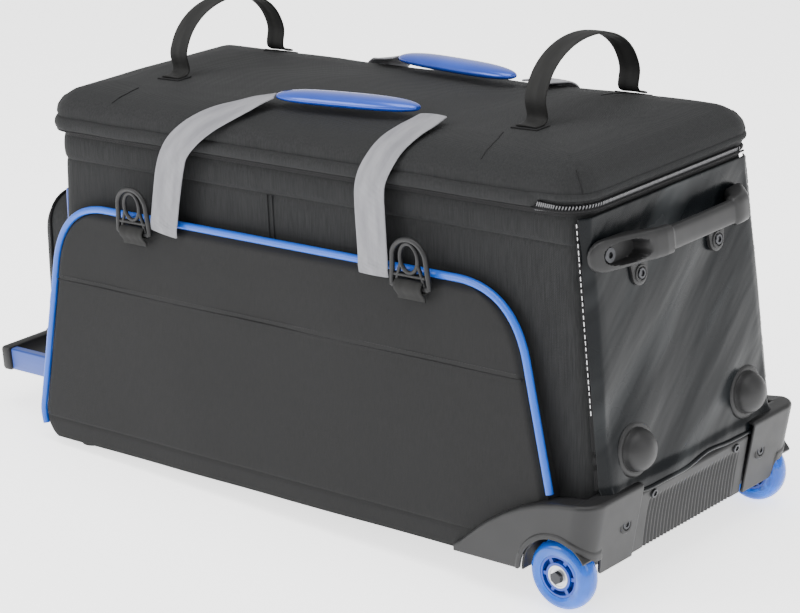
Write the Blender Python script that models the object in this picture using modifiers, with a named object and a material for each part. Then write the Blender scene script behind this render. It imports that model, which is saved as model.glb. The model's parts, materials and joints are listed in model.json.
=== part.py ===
"""Wheeled soft-sided equipment bag: the design model, in metres.

The bag is designed level, in its own frame: X runs along its length, the wheels at the +X end and the
pull handle at the -X end, Y runs across it with the front at -Y, and Z is up from the bottom of the
wheels. An empty then sets the bag down on its wheels and feet, which tips it a little towards the feet.
"""

import math

import bmesh
import bpy
from mathutils import Vector

# Driving dimensions
WHEEL_RADIUS = 0.034
WHEEL_WIDTH = 0.024
WHEEL_Y = 0.1535
AXLE_X = 0.325
ARCH_RADIUS = 0.0385
FOOT_X = -0.331
FOOT_Y = 0.134
FOOT_BOTTOM = 0.0255
FOOT_RADIUS = 0.015

TRAY_Z = 0.0345
TRAY_THICK = 0.004
RIM_Z = 0.371
TOP_HALF_LENGTH = 0.344
TOP_HALF_WIDTH = 0.129
BASE_HALF_WIDTH = 0.1385
LEFT_BASE_X = 0.372
END_KNEE_Z = 0.112
END_KNEE_X = 0.358
END_FOOT_X = 0.340
WALL = 0.010
ZIP_BAND = 0.004
BOARD_Z = 0.110

POCKET_TOP_Z = 0.290
POCKET_LEFT = (-0.331, -0.384)
POCKET_RIGHT = (0.271, 0.325)
POCKET_CORNER = 0.065
LOW_CORNER = 0.030
POCKET_Y = (0.1445, 0.1625)
PIPING_RADIUS = 0.0038
HOUSING_Y = 0.168

LID_TOP = 0.416
RIM_ROLL = 0.006
RIM_ROLL_OUT = 0.008

STRAP_WIDTH = 0.038
STRAP_THICK = 0.0025
GRIP_CENTRE = (0.030, -0.081, 0.4265)
GRIP_LENGTH = 0.165
GRIP_TURN = math.radians(6.9)

DRING_X = (-0.2135, 0.160)
DRING_BAR_Z = 0.281
TIE_X = (-0.243, 0.228)
TIE_WIDTH = 0.025

RAIL_Z = 0.0905
RAIL_Y = 0.1175
ARM_SIZE = (0.010, 0.025)
PULL_END_X = -0.488

GAP = 0.0003


# Helpers ------------------------------------------------------------------------------------------

def clear_scene():
    for thing in list(bpy.data.objects):
        bpy.data.objects.remove(thing, do_unlink=True)


def new_collection(name, hidden=False):
    group = bpy.data.collections.new(name)
    bpy.context.scene.collection.children.link(group)
    group.hide_render = hidden
    return group


def new_material(name, colour, roughness, metallic=0.0):
    material = bpy.data.materials.new(name)
    material.use_nodes = True
    shader = material.node_tree.nodes["Principled BSDF"]
    shader.inputs["Base Color"].default_value = (*colour, 1.0)
    shader.inputs["Roughness"].default_value = roughness
    shader.inputs["Metallic"].default_value = metallic
    material.diffuse_color = (*colour, 1.0)
    return material


clear_scene()
PARTS = new_collection("wheeled_equipment_bag")
CUTTERS = new_collection("cutters", hidden=True)
STANCE = bpy.data.objects.new("stance", None)
PARTS.objects.link(STANCE)

FINISHES = {
    "woven_fabric": ((0.045, 0.046, 0.048), 0.85, 0.0),
    "smooth_panel": ((0.050, 0.052, 0.055), 0.6, 0.0),
    "coated_sheet": ((0.012, 0.014, 0.017), 0.25, 0.0),
    "moulded_plastic": ((0.035, 0.036, 0.038), 0.45, 0.0),
    "black_rubber": ((0.02, 0.02, 0.02), 0.6, 0.0),
    "grey_webbing": ((0.37, 0.37, 0.39), 0.8, 0.0),
    "black_webbing": ((0.02, 0.02, 0.021), 0.85, 0.0),
    "blue_tube": ((0.03, 0.25, 0.75), 0.35, 0.0),
    "blue_metal": ((0.03, 0.13, 0.60), 0.28, 0.9),
    "blue_urethane": ((0.05, 0.33, 0.85), 0.15, 0.0),
    "blue_plastic": ((0.02, 0.16, 0.65), 0.35, 0.0),
    "steel": ((0.55, 0.55, 0.56), 0.3, 1.0),
    "dark_steel": ((0.05, 0.05, 0.05), 0.4, 1.0),
    "zip_metal": ((0.12, 0.12, 0.12), 0.35, 1.0),
}
MATERIALS = {name: new_material(name, *look) for name, look in FINISHES.items()}


def add_object(name, data, finish, cutter=False):
    thing = bpy.data.objects.new(name, data)
    (CUTTERS if cutter else PARTS).objects.link(thing)
    thing.parent = STANCE
    if finish:
        data.materials.append(MATERIALS[finish])
    if cutter:
        thing.hide_render = True
        thing.display_type = "WIRE"
    return thing


def mesh_object(name, mesh_maker, finish, cutter=False):
    mesh = bpy.data.meshes.new(name)
    mesh_maker.normal_update()
    bmesh.ops.recalc_face_normals(mesh_maker, faces=mesh_maker.faces)
    mesh_maker.to_mesh(mesh)
    mesh_maker.free()
    return add_object(name, mesh, finish, cutter)


def box(name, low, high, finish, bevel=0.0, cutter=False):
    """A box between two corners, its edges rounded by bevel."""
    bm = bmesh.new()
    bmesh.ops.create_cube(bm, size=1.0)
    low, high = Vector(low), Vector(high)
    bmesh.ops.scale(bm, vec=high - low, verts=bm.verts)
    bmesh.ops.translate(bm, vec=(low + high) / 2, verts=bm.verts)
    thing = mesh_object(name, bm, finish, cutter)
    if bevel:
        round_edges(thing, bevel)
    return thing


def round_edges(thing, width, segments=2, angle=math.radians(40)):
    modifier = thing.modifiers.new("rounded edges", "BEVEL")
    modifier.width = width
    modifier.segments = segments
    modifier.limit_method = "ANGLE"
    modifier.angle_limit = angle


def loft(name, rings, finish, cutter=False):
    """A closed body through rings with equal point counts, capped at its first and last ring."""
    bm = bmesh.new()
    loops = [[bm.verts.new(point) for point in ring] for ring in rings]
    for near, far in zip(loops, loops[1:]):
        for i in range(len(near)):
            j = (i + 1) % len(near)
            bm.faces.new((near[i], near[j], far[j], far[i]))
    bm.faces.new(reversed(loops[0]))
    bm.faces.new(loops[-1])
    return mesh_object(name, bm, finish, cutter)


def closed_loft(name, rings, finish):
    """A ring-shaped body: the last section joins the first."""
    bm = bmesh.new()
    loops = [[bm.verts.new(point) for point in ring] for ring in rings]
    for near, far in zip(loops, loops[1:] + loops[:1]):
        for i in range(len(near)):
            j = (i + 1) % len(near)
            bm.faces.new((near[i], near[j], far[j], far[i]))
    return mesh_object(name, bm, finish)


def rounded_rectangle(low, high, z, radius, steps=4):
    """Points round a level rectangle with rounded corners, counter-clockwise from above."""
    centres = (
        (high[0] - radius, high[1] - radius, 0),
        (low[0] + radius, high[1] - radius, 90),
        (low[0] + radius, low[1] + radius, 180),
        (high[0] - radius, low[1] + radius, 270),
    )
    points = []
    for x, y, start in centres:
        for i in range(steps + 1):
            angle = math.radians(start + 90 * i / steps)
            points.append((x + radius * math.cos(angle), y + radius * math.sin(angle), z))
    return points


def prism(name, outline, near_y, far_y, finish, cutter=False):
    """A flat XZ outline carried from one Y to another."""
    rings = [[(x, y, z) for x, z in outline] for y in (near_y, far_y)]
    return loft(name, rings, finish, cutter)


def cylinder(name, centre, axis, radius, length, finish, cutter=False, segments=32):
    """A cylinder along X, Y or Z."""
    bm = bmesh.new()
    bmesh.ops.create_cone(bm, cap_ends=True, segments=segments, radius1=radius, radius2=radius, depth=length)
    thing = mesh_object(name, bm, finish, cutter)
    thing.location = centre
    thing.rotation_euler = {"X": (0, math.pi / 2, 0), "Y": (math.pi / 2, 0, 0), "Z": (0, 0, 0)}[axis]
    return thing


def turned(name, profile, centre, rotation, finish, closed=True, steps=32):
    """A profile of (radius, height) points turned about its own Z axis."""
    bm = bmesh.new()
    verts = [bm.verts.new((radius, 0, height)) for radius, height in profile]
    for a, b in zip(verts, verts[1:] + (verts[:1] if closed else [])):
        bm.edges.new((a, b))
    mesh = bpy.data.meshes.new(name)
    bm.to_mesh(mesh)
    bm.free()
    thing = add_object(name, mesh, finish)
    thing.location = centre
    thing.rotation_euler = rotation
    screw = thing.modifiers.new("turned", "SCREW")
    screw.steps = screw.render_steps = steps
    screw.use_merge_vertices = True
    screw.merge_threshold = 0.00001
    return thing


def tube(name, points, radius, finish, cyclic=False):
    """A round tube through the points."""
    curve = bpy.data.curves.new(name, "CURVE")
    curve.dimensions = "3D"
    spline = curve.splines.new("POLY")
    spline.points.add(len(points) - 1)
    for target, point in zip(spline.points, points):
        target.co = (*point, 1)
    spline.use_cyclic_u = cyclic
    curve.bevel_depth = radius
    curve.bevel_resolution = 2
    curve.use_fill_caps = not cyclic
    return add_object(name, curve, finish)


def ribbon(name, centres, sides, width, thick, finish, cutter=False):
    """A flat strap whose middle follows centres and whose width lies along sides."""
    bm = bmesh.new()
    rows = []
    for centre, side in zip(centres, sides):
        half = Vector(side).normalized() * width / 2
        rows.append([bm.verts.new(Vector(centre) - half), bm.verts.new(Vector(centre) + half)])
    for near, far in zip(rows, rows[1:]):
        bm.faces.new((near[0], near[1], far[1], far[0]))
    thing = mesh_object(name, bm, finish, cutter)
    modifier = thing.modifiers.new("thickness", "SOLIDIFY")
    modifier.thickness = thick
    modifier.offset = 0
    return thing


def boolean(thing, other, operation):
    modifier = thing.modifiers.new(operation.lower(), "BOOLEAN")
    modifier.operation = operation
    modifier.object = other
    modifier.solver = "EXACT"


def cut(thing, *others):
    for other in others:
        boolean(thing, other, "DIFFERENCE")


def join(thing, *others):
    for other in others:
        boolean(thing, other, "UNION")


def name_of(side):
    return "front" if side < 0 else "rear"


# The bag's outer surfaces -------------------------------------------------------------------------

def mix(a, b, share):
    return a + (b - a) * share


def side_y(z):
    """Half width of the bag's body at a height."""
    return mix(BASE_HALF_WIDTH, TOP_HALF_WIDTH, (z - TRAY_Z) / (RIM_Z - TRAY_Z))


def left_x(z):
    """The pull-handle end leans in towards the rim, and its lowest edge is rounded under."""
    lean = -mix(LEFT_BASE_X, TOP_HALF_LENGTH, (z - TRAY_Z) / (RIM_Z - TRAY_Z))
    below = max(TRAY_Z + LOW_CORNER - z, 0.0) / LOW_CORNER
    return lean + LOW_CORNER * (1 - math.sqrt(1 - 0.9 * below * below))


def end_x(z):
    """The wheel end leans out from the rim to a knee above the wheels, then in again to the tray."""
    if z > END_KNEE_Z:
        return mix(END_KNEE_X, TOP_HALF_LENGTH, (z - END_KNEE_Z) / (RIM_Z - END_KNEE_Z))
    return mix(END_FOOT_X, END_KNEE_X, (z - TRAY_Z) / (END_KNEE_Z - TRAY_Z))


def pocket_y(z):
    return mix(POCKET_Y[1], POCKET_Y[0], (z - TRAY_Z) / (POCKET_TOP_Z - TRAY_Z))


END_LEAN = math.atan2(END_KNEE_X - TOP_HALF_LENGTH, RIM_Z - END_KNEE_Z)


def on_end(y, z, out):
    """A point at a height on the sloping end, standing out from it by out."""
    return (end_x(z) + out * math.cos(END_LEAN), y, z + out * math.sin(END_LEAN))


def body_ring(z, inset=0.0, radius=0.022):
    low = (left_x(z) + inset, -side_y(z) + inset)
    high = (end_x(z) - inset, side_y(z) - inset)
    return rounded_rectangle(low, high, z, max(radius - inset, 0.006))


# Body ---------------------------------------------------------------------------------------------

BODY_BOTTOM = TRAY_Z + TRAY_THICK + GAP
BODY_TOP = RIM_Z - ZIP_BAND - GAP
MIDDLE_Z = 0.24


def make_body():
    """The padded tub, open at the top, on its hard tray, with a board over the handle rails."""
    low_levels = [mix(BODY_BOTTOM, TRAY_Z + LOW_CORNER, share) for share in (0.0, 0.25, 0.5, 1.0)]
    outer = [body_ring(z) for z in low_levels + [END_KNEE_Z, MIDDLE_Z, BODY_TOP]]
    inner = [body_ring(z, WALL) for z in (BODY_TOP, MIDDLE_Z, END_KNEE_Z, low_levels[-1], BODY_BOTTOM + WALL)]
    shell = loft("body_shell", outer + inner, "woven_fabric")
    for side in (-1, 1):
        rail_mouth = box(
            f"rail_mouth_{name_of(side)}",
            (-0.39, side * RAIL_Y - 0.0085, RAIL_Z - 0.0165),
            (-0.33, side * RAIL_Y + 0.0085, RAIL_Z + 0.0165),
            None, cutter=True,
        )
        cut(shell, rail_mouth)
    tray_ring = [body_ring(z) for z in (TRAY_Z, TRAY_Z + TRAY_THICK)]
    loft("base_tray", tray_ring, "moulded_plastic")
    board = [body_ring(z, WALL + 0.002) for z in (BOARD_Z, BOARD_Z + 0.005)]
    loft("base_board", board, "smooth_panel")


def make_zip_band():
    """The zip and its tape, a band round the rim between the body and the lid."""
    z0, z1 = RIM_Z - ZIP_BAND, RIM_Z - GAP
    outer = [body_ring(z) for z in (z0, z1)]
    inner = [body_ring(z, 0.008) for z in (z1, z0)]
    closed_loft("zip_band", outer + inner, "zip_metal")


def make_zip_sliders():
    """Two sliders on the pull-handle end, each with its tab hanging down."""
    for side in (-1, 1):
        y = side * 0.014
        x = -TOP_HALF_LENGTH - GAP
        box(f"zip_slider_{name_of(side)}", (x - 0.0055, y - 0.0045, 0.3610),
            (x - 0.0005, y + 0.0045, 0.3705), "zip_metal", bevel=0.001)
        box(f"zip_pull_{name_of(side)}", (x - 0.0055, y - 0.0040, 0.3280),
            (x - 0.0035, y + 0.0040, 0.3607), "black_webbing", bevel=0.0008)


def pocket_outline():
    """The pocket in X and Z, all but its corner behind the wheel housing rounded."""
    low_z = TRAY_Z + GAP
    left_low = Vector((POCKET_LEFT[1], low_z))
    left_top = Vector((POCKET_LEFT[0], POCKET_TOP_Z))
    right_top = Vector((POCKET_RIGHT[0], POCKET_TOP_Z))
    right_low = Vector((POCKET_RIGHT[1], low_z))
    points = rounded_corner(right_low, left_low, left_top, LOW_CORNER)
    points += rounded_corner(left_low, left_top, right_top, POCKET_CORNER)
    points += rounded_corner(left_top, right_top, right_low, POCKET_CORNER)
    points.append(right_low)
    return [(p.x, p.y) for p in points]


LOW_CORNER_STEPS = 6


def rounded_corner(before, corner, after, reach, steps=LOW_CORNER_STEPS):
    """A curve that leaves one edge and meets the next, tangent to both."""
    start = corner + (before - corner).normalized() * reach
    end = corner + (after - corner).normalized() * reach
    points = []
    for i in range(steps + 1):
        t = i / steps
        points.append((1 - t) ** 2 * start + 2 * t * (1 - t) * corner + t * t * end)
    return points


def make_side_pocket(side):
    """The flat pocket on a long side, cut away round the wheel housing, and its blue piping."""
    name = name_of(side)
    outline = pocket_outline()
    rings = [
        [(x, side * (side_y(z) + GAP), z) for x, z in outline],
        [(x, side * pocket_y(z), z) for x, z in outline],
    ]
    pocket = loft(f"{name}_pocket", rings, "smooth_panel")
    start = HOUSING_BLOCK_X - GAP
    corner_outline = [(start, 0.0), (start, 0.0802), (0.2898, HOUSING_BLOCK_Z + GAP),
                      (0.42, HOUSING_BLOCK_Z + GAP), (0.42, 0.0)]
    corner = prism(f"{name}_pocket_cutter", corner_outline, side * 0.12, side * 0.18, None, cutter=True)
    cut(pocket, corner)
    tube(f"{name}_piping", piping_path(side), PIPING_RADIUS, "blue_tube")


def piping_path(side):
    """Up the pocket's left edge, over its top and down to the wheel housing, just outside its edge."""
    clear = PIPING_RADIUS + GAP
    edge = [Vector(p) for p in pocket_outline()]
    edge[-1] = mix(edge[-2], edge[-1], (edge[-2].y - HOUSING_TOP_Z - 0.006) / (edge[-2].y - edge[-1].y))
    edge = edge[LOW_CORNER_STEPS:]
    path = []
    for i, point in enumerate(edge):
        ahead = (edge[min(i + 1, len(edge) - 1)] - edge[max(i - 1, 0)]).normalized()
        outward = Vector((-ahead.y, ahead.x))
        place = point + outward * clear
        path.append((place.x, side * (pocket_y(place.y) - 0.003), place.y))
    return path


def make_end_pocket():
    """The padded pouch on the pull-handle end, between the handle's arms."""
    rings = []
    for out, inset in ((GAP, 0.0), (0.045, 0.0), (0.068, 0.010), (0.078, 0.026)):
        ring = rounded_rectangle((-0.104 + inset, 0.118 + inset),
                                 (0.104 - inset, 0.283 - inset * 1.2), 0, 0.03)
        rings.append([(left_x(z) - out, y, z) for y, z, _ in ring])
    loft("end_pocket", rings, "woven_fabric")


PANEL_MARGIN = 0.0125


def make_end_panel():
    """The coated sheet over the wheel end, with its two hemispherical bumpers."""
    low, high = END_KNEE_Z + GAP, 0.3630
    rings = []
    for out in (GAP * 2, 0.0022):
        corners = [(side * (side_y(z) - PANEL_MARGIN), z)
                   for side, z in ((-1, low), (1, low), (1, high), (-1, high))]
        rings.append([on_end(y, z, out) for y, z in corners])
    loft("end_panel", rings, "coated_sheet")
    for side in (-1, 1):
        dome = [(0.0255, 0.0), (0.0255, 0.0028), (0.0235, 0.0042), (0.0205, 0.0048)]
        dome += [(0.0205 * math.cos(a), 0.0048 + 0.0165 * math.sin(a)) for a in
                 [math.radians(d) for d in (18, 36, 54, 72, 90)]]
        dome[-1] = (0.0, 0.0213)
        profile = list(reversed(dome)) + [(0.0, 0.0)]
        turned(f"bumper_{name_of(side)}", profile, on_end(side * 0.088, 0.140, 0.0026),
               (0, math.pi / 2 - END_LEAN, 0), "black_rubber", closed=False, steps=24)


HANDLE_LOW, HANDLE_HIGH = 0.3140, 0.3420
HANDLE_ENDS = (-0.1280, 0.1000)
HANDLE_BOW = (  # across the bag, and out from its end
    (-0.1270, 0.0080), (-0.1180, 0.0120), (-0.0660, 0.0270), (-0.0520, 0.0310),
    (0.0700, 0.0310), (0.0860, 0.0300), (0.0990, 0.0080),
)
PLATE_OUT = 0.0028
EAR_Z = 0.3010


def end_slab(name, corners, thick, cutter=False):
    """A flat piece lying on the sloping end, from its corners in Y and Z."""
    rings = [[on_end(y, z, out) for y, z in corners] for out in (PLATE_OUT, PLATE_OUT + thick)]
    return loft(name, rings, None if cutter else "moulded_plastic", cutter)


def make_end_handle():
    """The moulded grab handle: a backing plate with two screwed ears, and a bowed bar to hold."""
    near, far = HANDLE_ENDS
    corners = [(near, HANDLE_LOW), (far, HANDLE_LOW), (far, HANDLE_HIGH), (near, HANDLE_HIGH)]
    handle = end_slab("end_handle", corners, 0.005)
    middle = (HANDLE_LOW + HANDLE_HIGH) / 2
    upward = Vector(on_end(0, HANDLE_HIGH, 0)) - Vector(on_end(0, HANDLE_LOW, 0))
    bar = ribbon("end_handle_bar", [on_end(y, middle, out) for y, out in HANDLE_BOW],
                 [upward] * len(HANDLE_BOW), HANDLE_HIGH - HANDLE_LOW + 0.001, 0.011, None, cutter=True)
    ears = []
    for side in (-1, 1):
        y = side * 0.060
        corners = [(y - 0.011, EAR_Z - 0.009), (y + 0.011, EAR_Z - 0.009),
                   (y + 0.016, HANDLE_LOW + 0.005), (y - 0.016, HANDLE_LOW + 0.005)]
        ears.append(end_slab(f"end_handle_ear_{name_of(side)}", corners, 0.0048, cutter=True))
        cylinder(f"end_handle_screw_{name_of(side)}", on_end(y, EAR_Z, PLATE_OUT + 0.0066), "X",
                 0.0055, 0.0024, "dark_steel", segments=20)
    join(handle, bar, *ears)


# Wheels and their housings ------------------------------------------------------------------------

HOUSING_BLOCK_X = 0.262
HOUSING_BLOCK_Z = 0.0985
HOUSING_TOP_Z = 0.1045


def make_housing(side):
    """The moulded corner: a wing on the long side, a block round the wheel and a wrap on the end."""
    name = name_of(side)
    wing_outline = [
        (0.205, TRAY_Z), (0.205, 0.0400), (0.2250, 0.0560), (0.2495, 0.0716), (0.2680, 0.0810),
        (0.2865, 0.0946), (0.3180, HOUSING_TOP_Z), (0.3600, 0.1085), (0.3720, 0.1085), (0.3530, TRAY_Z),
    ]
    housing = prism(f"wheel_housing_{name}", wing_outline, side * 0.1635, side * HOUSING_Y, "moulded_plastic")
    block_outline = [
        (HOUSING_BLOCK_X, TRAY_Z), (HOUSING_BLOCK_X, 0.0800), (0.290, HOUSING_BLOCK_Z),
        (0.3560, HOUSING_BLOCK_Z), (0.3715, 0.1080), (0.3525, TRAY_Z),
    ]
    inner = side_y(TRAY_Z) + GAP * 2
    block = prism(f"housing_block_{name}", block_outline, side * inner, side * 0.1645, None, cutter=True)
    wrap_outline = [(end_x(TRAY_Z) + GAP, TRAY_Z), (end_x(0.1115) + GAP, 0.1115), (0.3710, 0.1085),
                    (0.3530, TRAY_Z)]
    wrap = prism(f"housing_wrap_{name}", wrap_outline, side * 0.0895, side * 0.1670, None, cutter=True)
    join(housing, block, wrap)
    arch = cylinder(f"arch_{name}", (AXLE_X, side * 0.1580, WHEEL_RADIUS), "Y",
                    ARCH_RADIUS, 0.0345, None, cutter=True)
    cut(housing, arch)
    cylinder(f"housing_screw_{name}", (0.3695, side * 0.108, 0.0745), "X",
             0.0048, 0.003, "dark_steel", segments=20)


def make_skid_plate():
    """The ribbed plate between the housings, proud of them."""
    outline = [(0.3415, TRAY_Z + 0.0010), (0.3560, 0.1000), (0.3660, 0.1000), (0.3515, TRAY_Z + 0.0010)]
    prism("skid_plate", outline, -0.0890, 0.0890, "moulded_plastic")


def make_wheel(side):
    """A skate wheel: urethane tyre, plastic core and steel bearing, on a bolt through the housing."""
    name = name_of(side)
    centre = (AXLE_X, side * WHEEL_Y, WHEEL_RADIUS)
    upright = (math.pi / 2, 0, 0)
    half = WHEEL_WIDTH / 2
    tread = []
    for i in range(9):
        angle = math.radians(75 - 150 * i / 8)
        height = half * math.sin(angle) / math.sin(math.radians(75))
        tread.append((0.0225 + 0.0115 * math.cos(angle), height))
    tyre = [(0.0205, half * 0.88)] + tread + [(0.0205, -half * 0.88)]
    turned(f"wheel_tyre_{name}", tyre, centre, upright, "blue_urethane")
    core = [(0.0113, 0.0095), (0.0202, 0.0095), (0.0202, -0.0095), (0.0113, -0.0095)]
    turned(f"wheel_core_{name}", core, centre, upright, "blue_plastic")
    bearing = [(0.0044, 0.0102), (0.0110, 0.0102), (0.0110, -0.0102), (0.0044, -0.0102)]
    turned(f"wheel_bearing_{name}", bearing, centre, upright, "steel")
    bolt_middle = side * (side_y(TRAY_Z) + 0.0150)
    bolt = cylinder(f"axle_bolt_{name}", (AXLE_X, bolt_middle, WHEEL_RADIUS), "Y", 0.0040, 0.0235,
                    "dark_steel", segments=20)
    head = cylinder(f"axle_head_{name}", (AXLE_X, side * 0.1657, WHEEL_RADIUS), "Y", 0.0062, 0.0032, None,
                    cutter=True, segments=6)
    join(bolt, head)


def make_feet(tilt):
    """Two feet under the other end, cut level with the ground."""
    for side in (-1, 1):
        height = TRAY_Z - FOOT_BOTTOM - FOOT_RADIUS * math.sin(tilt) - GAP
        profile = [(0.0, height), (0.0135, height), (FOOT_RADIUS, 0.0), (0.0, 0.0)]
        turned(f"foot_{name_of(side)}", profile, (FOOT_X, side * FOOT_Y, FOOT_BOTTOM), (0, tilt, 0),
               "black_rubber", closed=False, steps=20)


# Pull handle --------------------------------------------------------------------------------------

def make_pull_handle():
    """Two arms that slide in sleeves under the floor board, joined by a grip with a release button."""
    half_y, half_z = ARM_SIZE[0] / 2, ARM_SIZE[1] / 2
    for side in (-1, 1):
        name = name_of(side)
        y = side * RAIL_Y
        sleeve = box(f"handle_sleeve_{name}", (-0.3755, y - 0.0080, RAIL_Z - 0.0160),
                     (0.300, y + 0.0080, RAIL_Z + 0.0160), "dark_steel")
        bore = box(f"sleeve_bore_{name}", (-0.40, y - half_y - GAP, RAIL_Z - half_z - GAP),
                   (0.298, y + half_y + GAP, RAIL_Z + half_z + GAP), None, cutter=True)
        cut(sleeve, bore)
        box(f"handle_arm_{name}", (PULL_END_X + 0.0148, y - half_y, RAIL_Z - half_z),
            (0.220, y + half_y, RAIL_Z + half_z), "blue_metal", bevel=0.0015)
    grip = box("pull_grip", (PULL_END_X, -RAIL_Y - 0.0075, RAIL_Z - 0.0140),
               (PULL_END_X + 0.0145, RAIL_Y + 0.0075, RAIL_Z + 0.0140), "moulded_plastic", bevel=0.004)
    bridge = box("pull_grip_hand", (PULL_END_X - 0.008, -0.055, RAIL_Z - 0.0140),
                 (PULL_END_X + 0.0140, 0.055, RAIL_Z + 0.0140), None, bevel=0.006, cutter=True)
    seat = box("button_seat", (PULL_END_X - 0.02, -0.0163, RAIL_Z - 0.0073),
               (PULL_END_X + 0.006, 0.0163, RAIL_Z + 0.0073), None, cutter=True)
    join(grip, bridge)
    cut(grip, seat)
    box("release_button", (PULL_END_X - 0.012, -0.0158, RAIL_Z - 0.0068),
        (PULL_END_X + 0.0015, 0.0158, RAIL_Z + 0.0068), "moulded_plastic", bevel=0.002)


# Lid ----------------------------------------------------------------------------------------------

def lid_ring(out, z, radius=0.024):
    low = (-TOP_HALF_LENGTH - out, -TOP_HALF_WIDTH - out)
    high = (TOP_HALF_LENGTH + out, TOP_HALF_WIDTH + out)
    return rounded_rectangle(low, high, z, max(radius + out, 0.006))


def make_lid():
    """The padded lid, a shallow dish upside down, with a rolled edge above the zip."""
    outer = [(0.0008, RIM_Z + GAP), (0.0014, 0.3860), (0.0080, 0.3930), (0.0060, 0.4040),
             (-0.0060, 0.4115), (-0.0300, 0.4150), (-0.0700, LID_TOP)]
    inner = [(-0.0700, LID_TOP - 0.0100), (-0.0140, 0.4040), (-0.0090, 0.3960), (-0.0085, RIM_Z + GAP)]
    dish("lid_panel", [lid_ring(out, z) for out, z in outer], [lid_ring(out, z) for out, z in inner])
    corner = [(p[0], p[1], RIM_Z + 0.0078) for p in lid_ring(RIM_ROLL_OUT, 0)]
    tube("lid_rim", corner, RIM_ROLL, "woven_fabric", cyclic=True)


def dish(name, outer, inner):
    """A dish upside down: up its outside, over the top, and back down inside to its open mouth."""
    bm = bmesh.new()
    up = [[bm.verts.new(point) for point in ring] for ring in outer]
    down = [[bm.verts.new(point) for point in ring] for ring in inner]
    for loops in (up, down, [down[-1], up[0]]):
        for near, far in zip(loops, loops[1:]):
            for i in range(len(near)):
                j = (i + 1) % len(near)
                bm.faces.new((near[i], near[j], far[j], far[i]))
    bm.faces.new(up[-1])
    bm.faces.new(down[0])
    return mesh_object(name, bm, "woven_fabric")


def make_tie_straps():
    """Two webbing hoops on the lid that hold long things such as stands."""
    middle, span, rise, base = 0.030, 0.080, 0.0700, LID_TOP + 0.0016
    for x, name in zip(TIE_X, ("left", "right")):
        centres = [(x, middle - span - 0.006, base), (x, middle - span + 0.004, base)]
        for i in range(1, 16):
            angle = math.pi * (1 - i / 16)
            height = base + rise * math.sin(angle) ** 0.8
            centres.append((x, middle + (span - 0.004) * math.cos(angle), height))
        centres += [(x, middle + span - 0.004, base), (x, middle + span + 0.006, base)]
        ribbon(f"tie_strap_{name}", centres, [(1, 0, 0)] * len(centres),
               TIE_WIDTH, STRAP_THICK, "black_webbing")


# Carry handles ------------------------------------------------------------------------------------

STRAP_RISE = (
    # half width and height of the strap's middle, from the pocket to the lid's edge
    (0.1484, 0.2835), (0.1486, 0.2960), (0.1450, 0.3080), (0.1415, 0.3260), (0.1425, 0.3480),
    (0.1466, 0.3640), (0.1474, 0.3790), (0.1466, 0.3920), (0.1420, 0.4050), (0.1340, 0.4130),
)


def make_carry_handle(side):
    """Grey webbing from the pocket over the lid's edge to a rigid grip lying on the lid."""
    name = name_of(side)
    grip_turn = -side * GRIP_TURN
    along = Vector((math.cos(grip_turn), math.sin(grip_turn), 0))
    centre = Vector((GRIP_CENTRE[0], -side * GRIP_CENTRE[1], GRIP_CENTRE[2]))
    rings = []
    for i in range(13):
        t = -1 + i / 6
        reach = GRIP_LENGTH / 2 * math.sin(t * math.pi / 2)
        full = max(math.cos(t * math.pi / 2), 0.0) ** 0.35
        wide, tall = 0.0060 + 0.0080 * full, 0.0028 + 0.0042 * full
        ring = []
        for k in range(12):
            angle = 2 * math.pi * k / 12
            offset = Vector((-along.y, along.x, 0)) * wide * math.cos(angle)
            offset.z = tall * math.sin(angle)
            ring.append(centre + along * reach + offset)
        rings.append(ring)
    loft(f"carry_grip_{name}", rings, "blue_metal")
    for hand, foot_x, rim_x, beyond in ((-1, -0.171, -0.148, 0.0040), (1, 0.113, 0.113, 0.0240)):
        end = centre + along * hand * (GRIP_LENGTH / 2 + beyond)
        centres, sides = [], []
        for y, z in STRAP_RISE:
            x = mix(foot_x, rim_x, min((z - 0.2835) / 0.0855, 1.0))
            centres.append(Vector((x, side * y, z)))
            sides.append(Vector((1, 0, 0)))
        last = centres[-1]
        for i in range(1, 6):
            t = i / 5
            point = last.lerp(end, t)
            point.z = mix(last.z, end.z, min(2.2 * t, 1.0)) if t < 1 else end.z
            centres.append(point)
            across = Vector((-(end - last).y, (end - last).x, 0)).normalized()
            across = across if across.x > 0 else -across
            sides.append(Vector((1, 0, 0)).lerp(across, min(1.5 * t, 1.0)).normalized())
        width = STRAP_WIDTH
        ribbon(f"carry_strap_{name}_{'left' if hand < 0 else 'right'}", centres, sides, width, STRAP_THICK,
               "grey_webbing")


# D-rings ------------------------------------------------------------------------------------------

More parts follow.
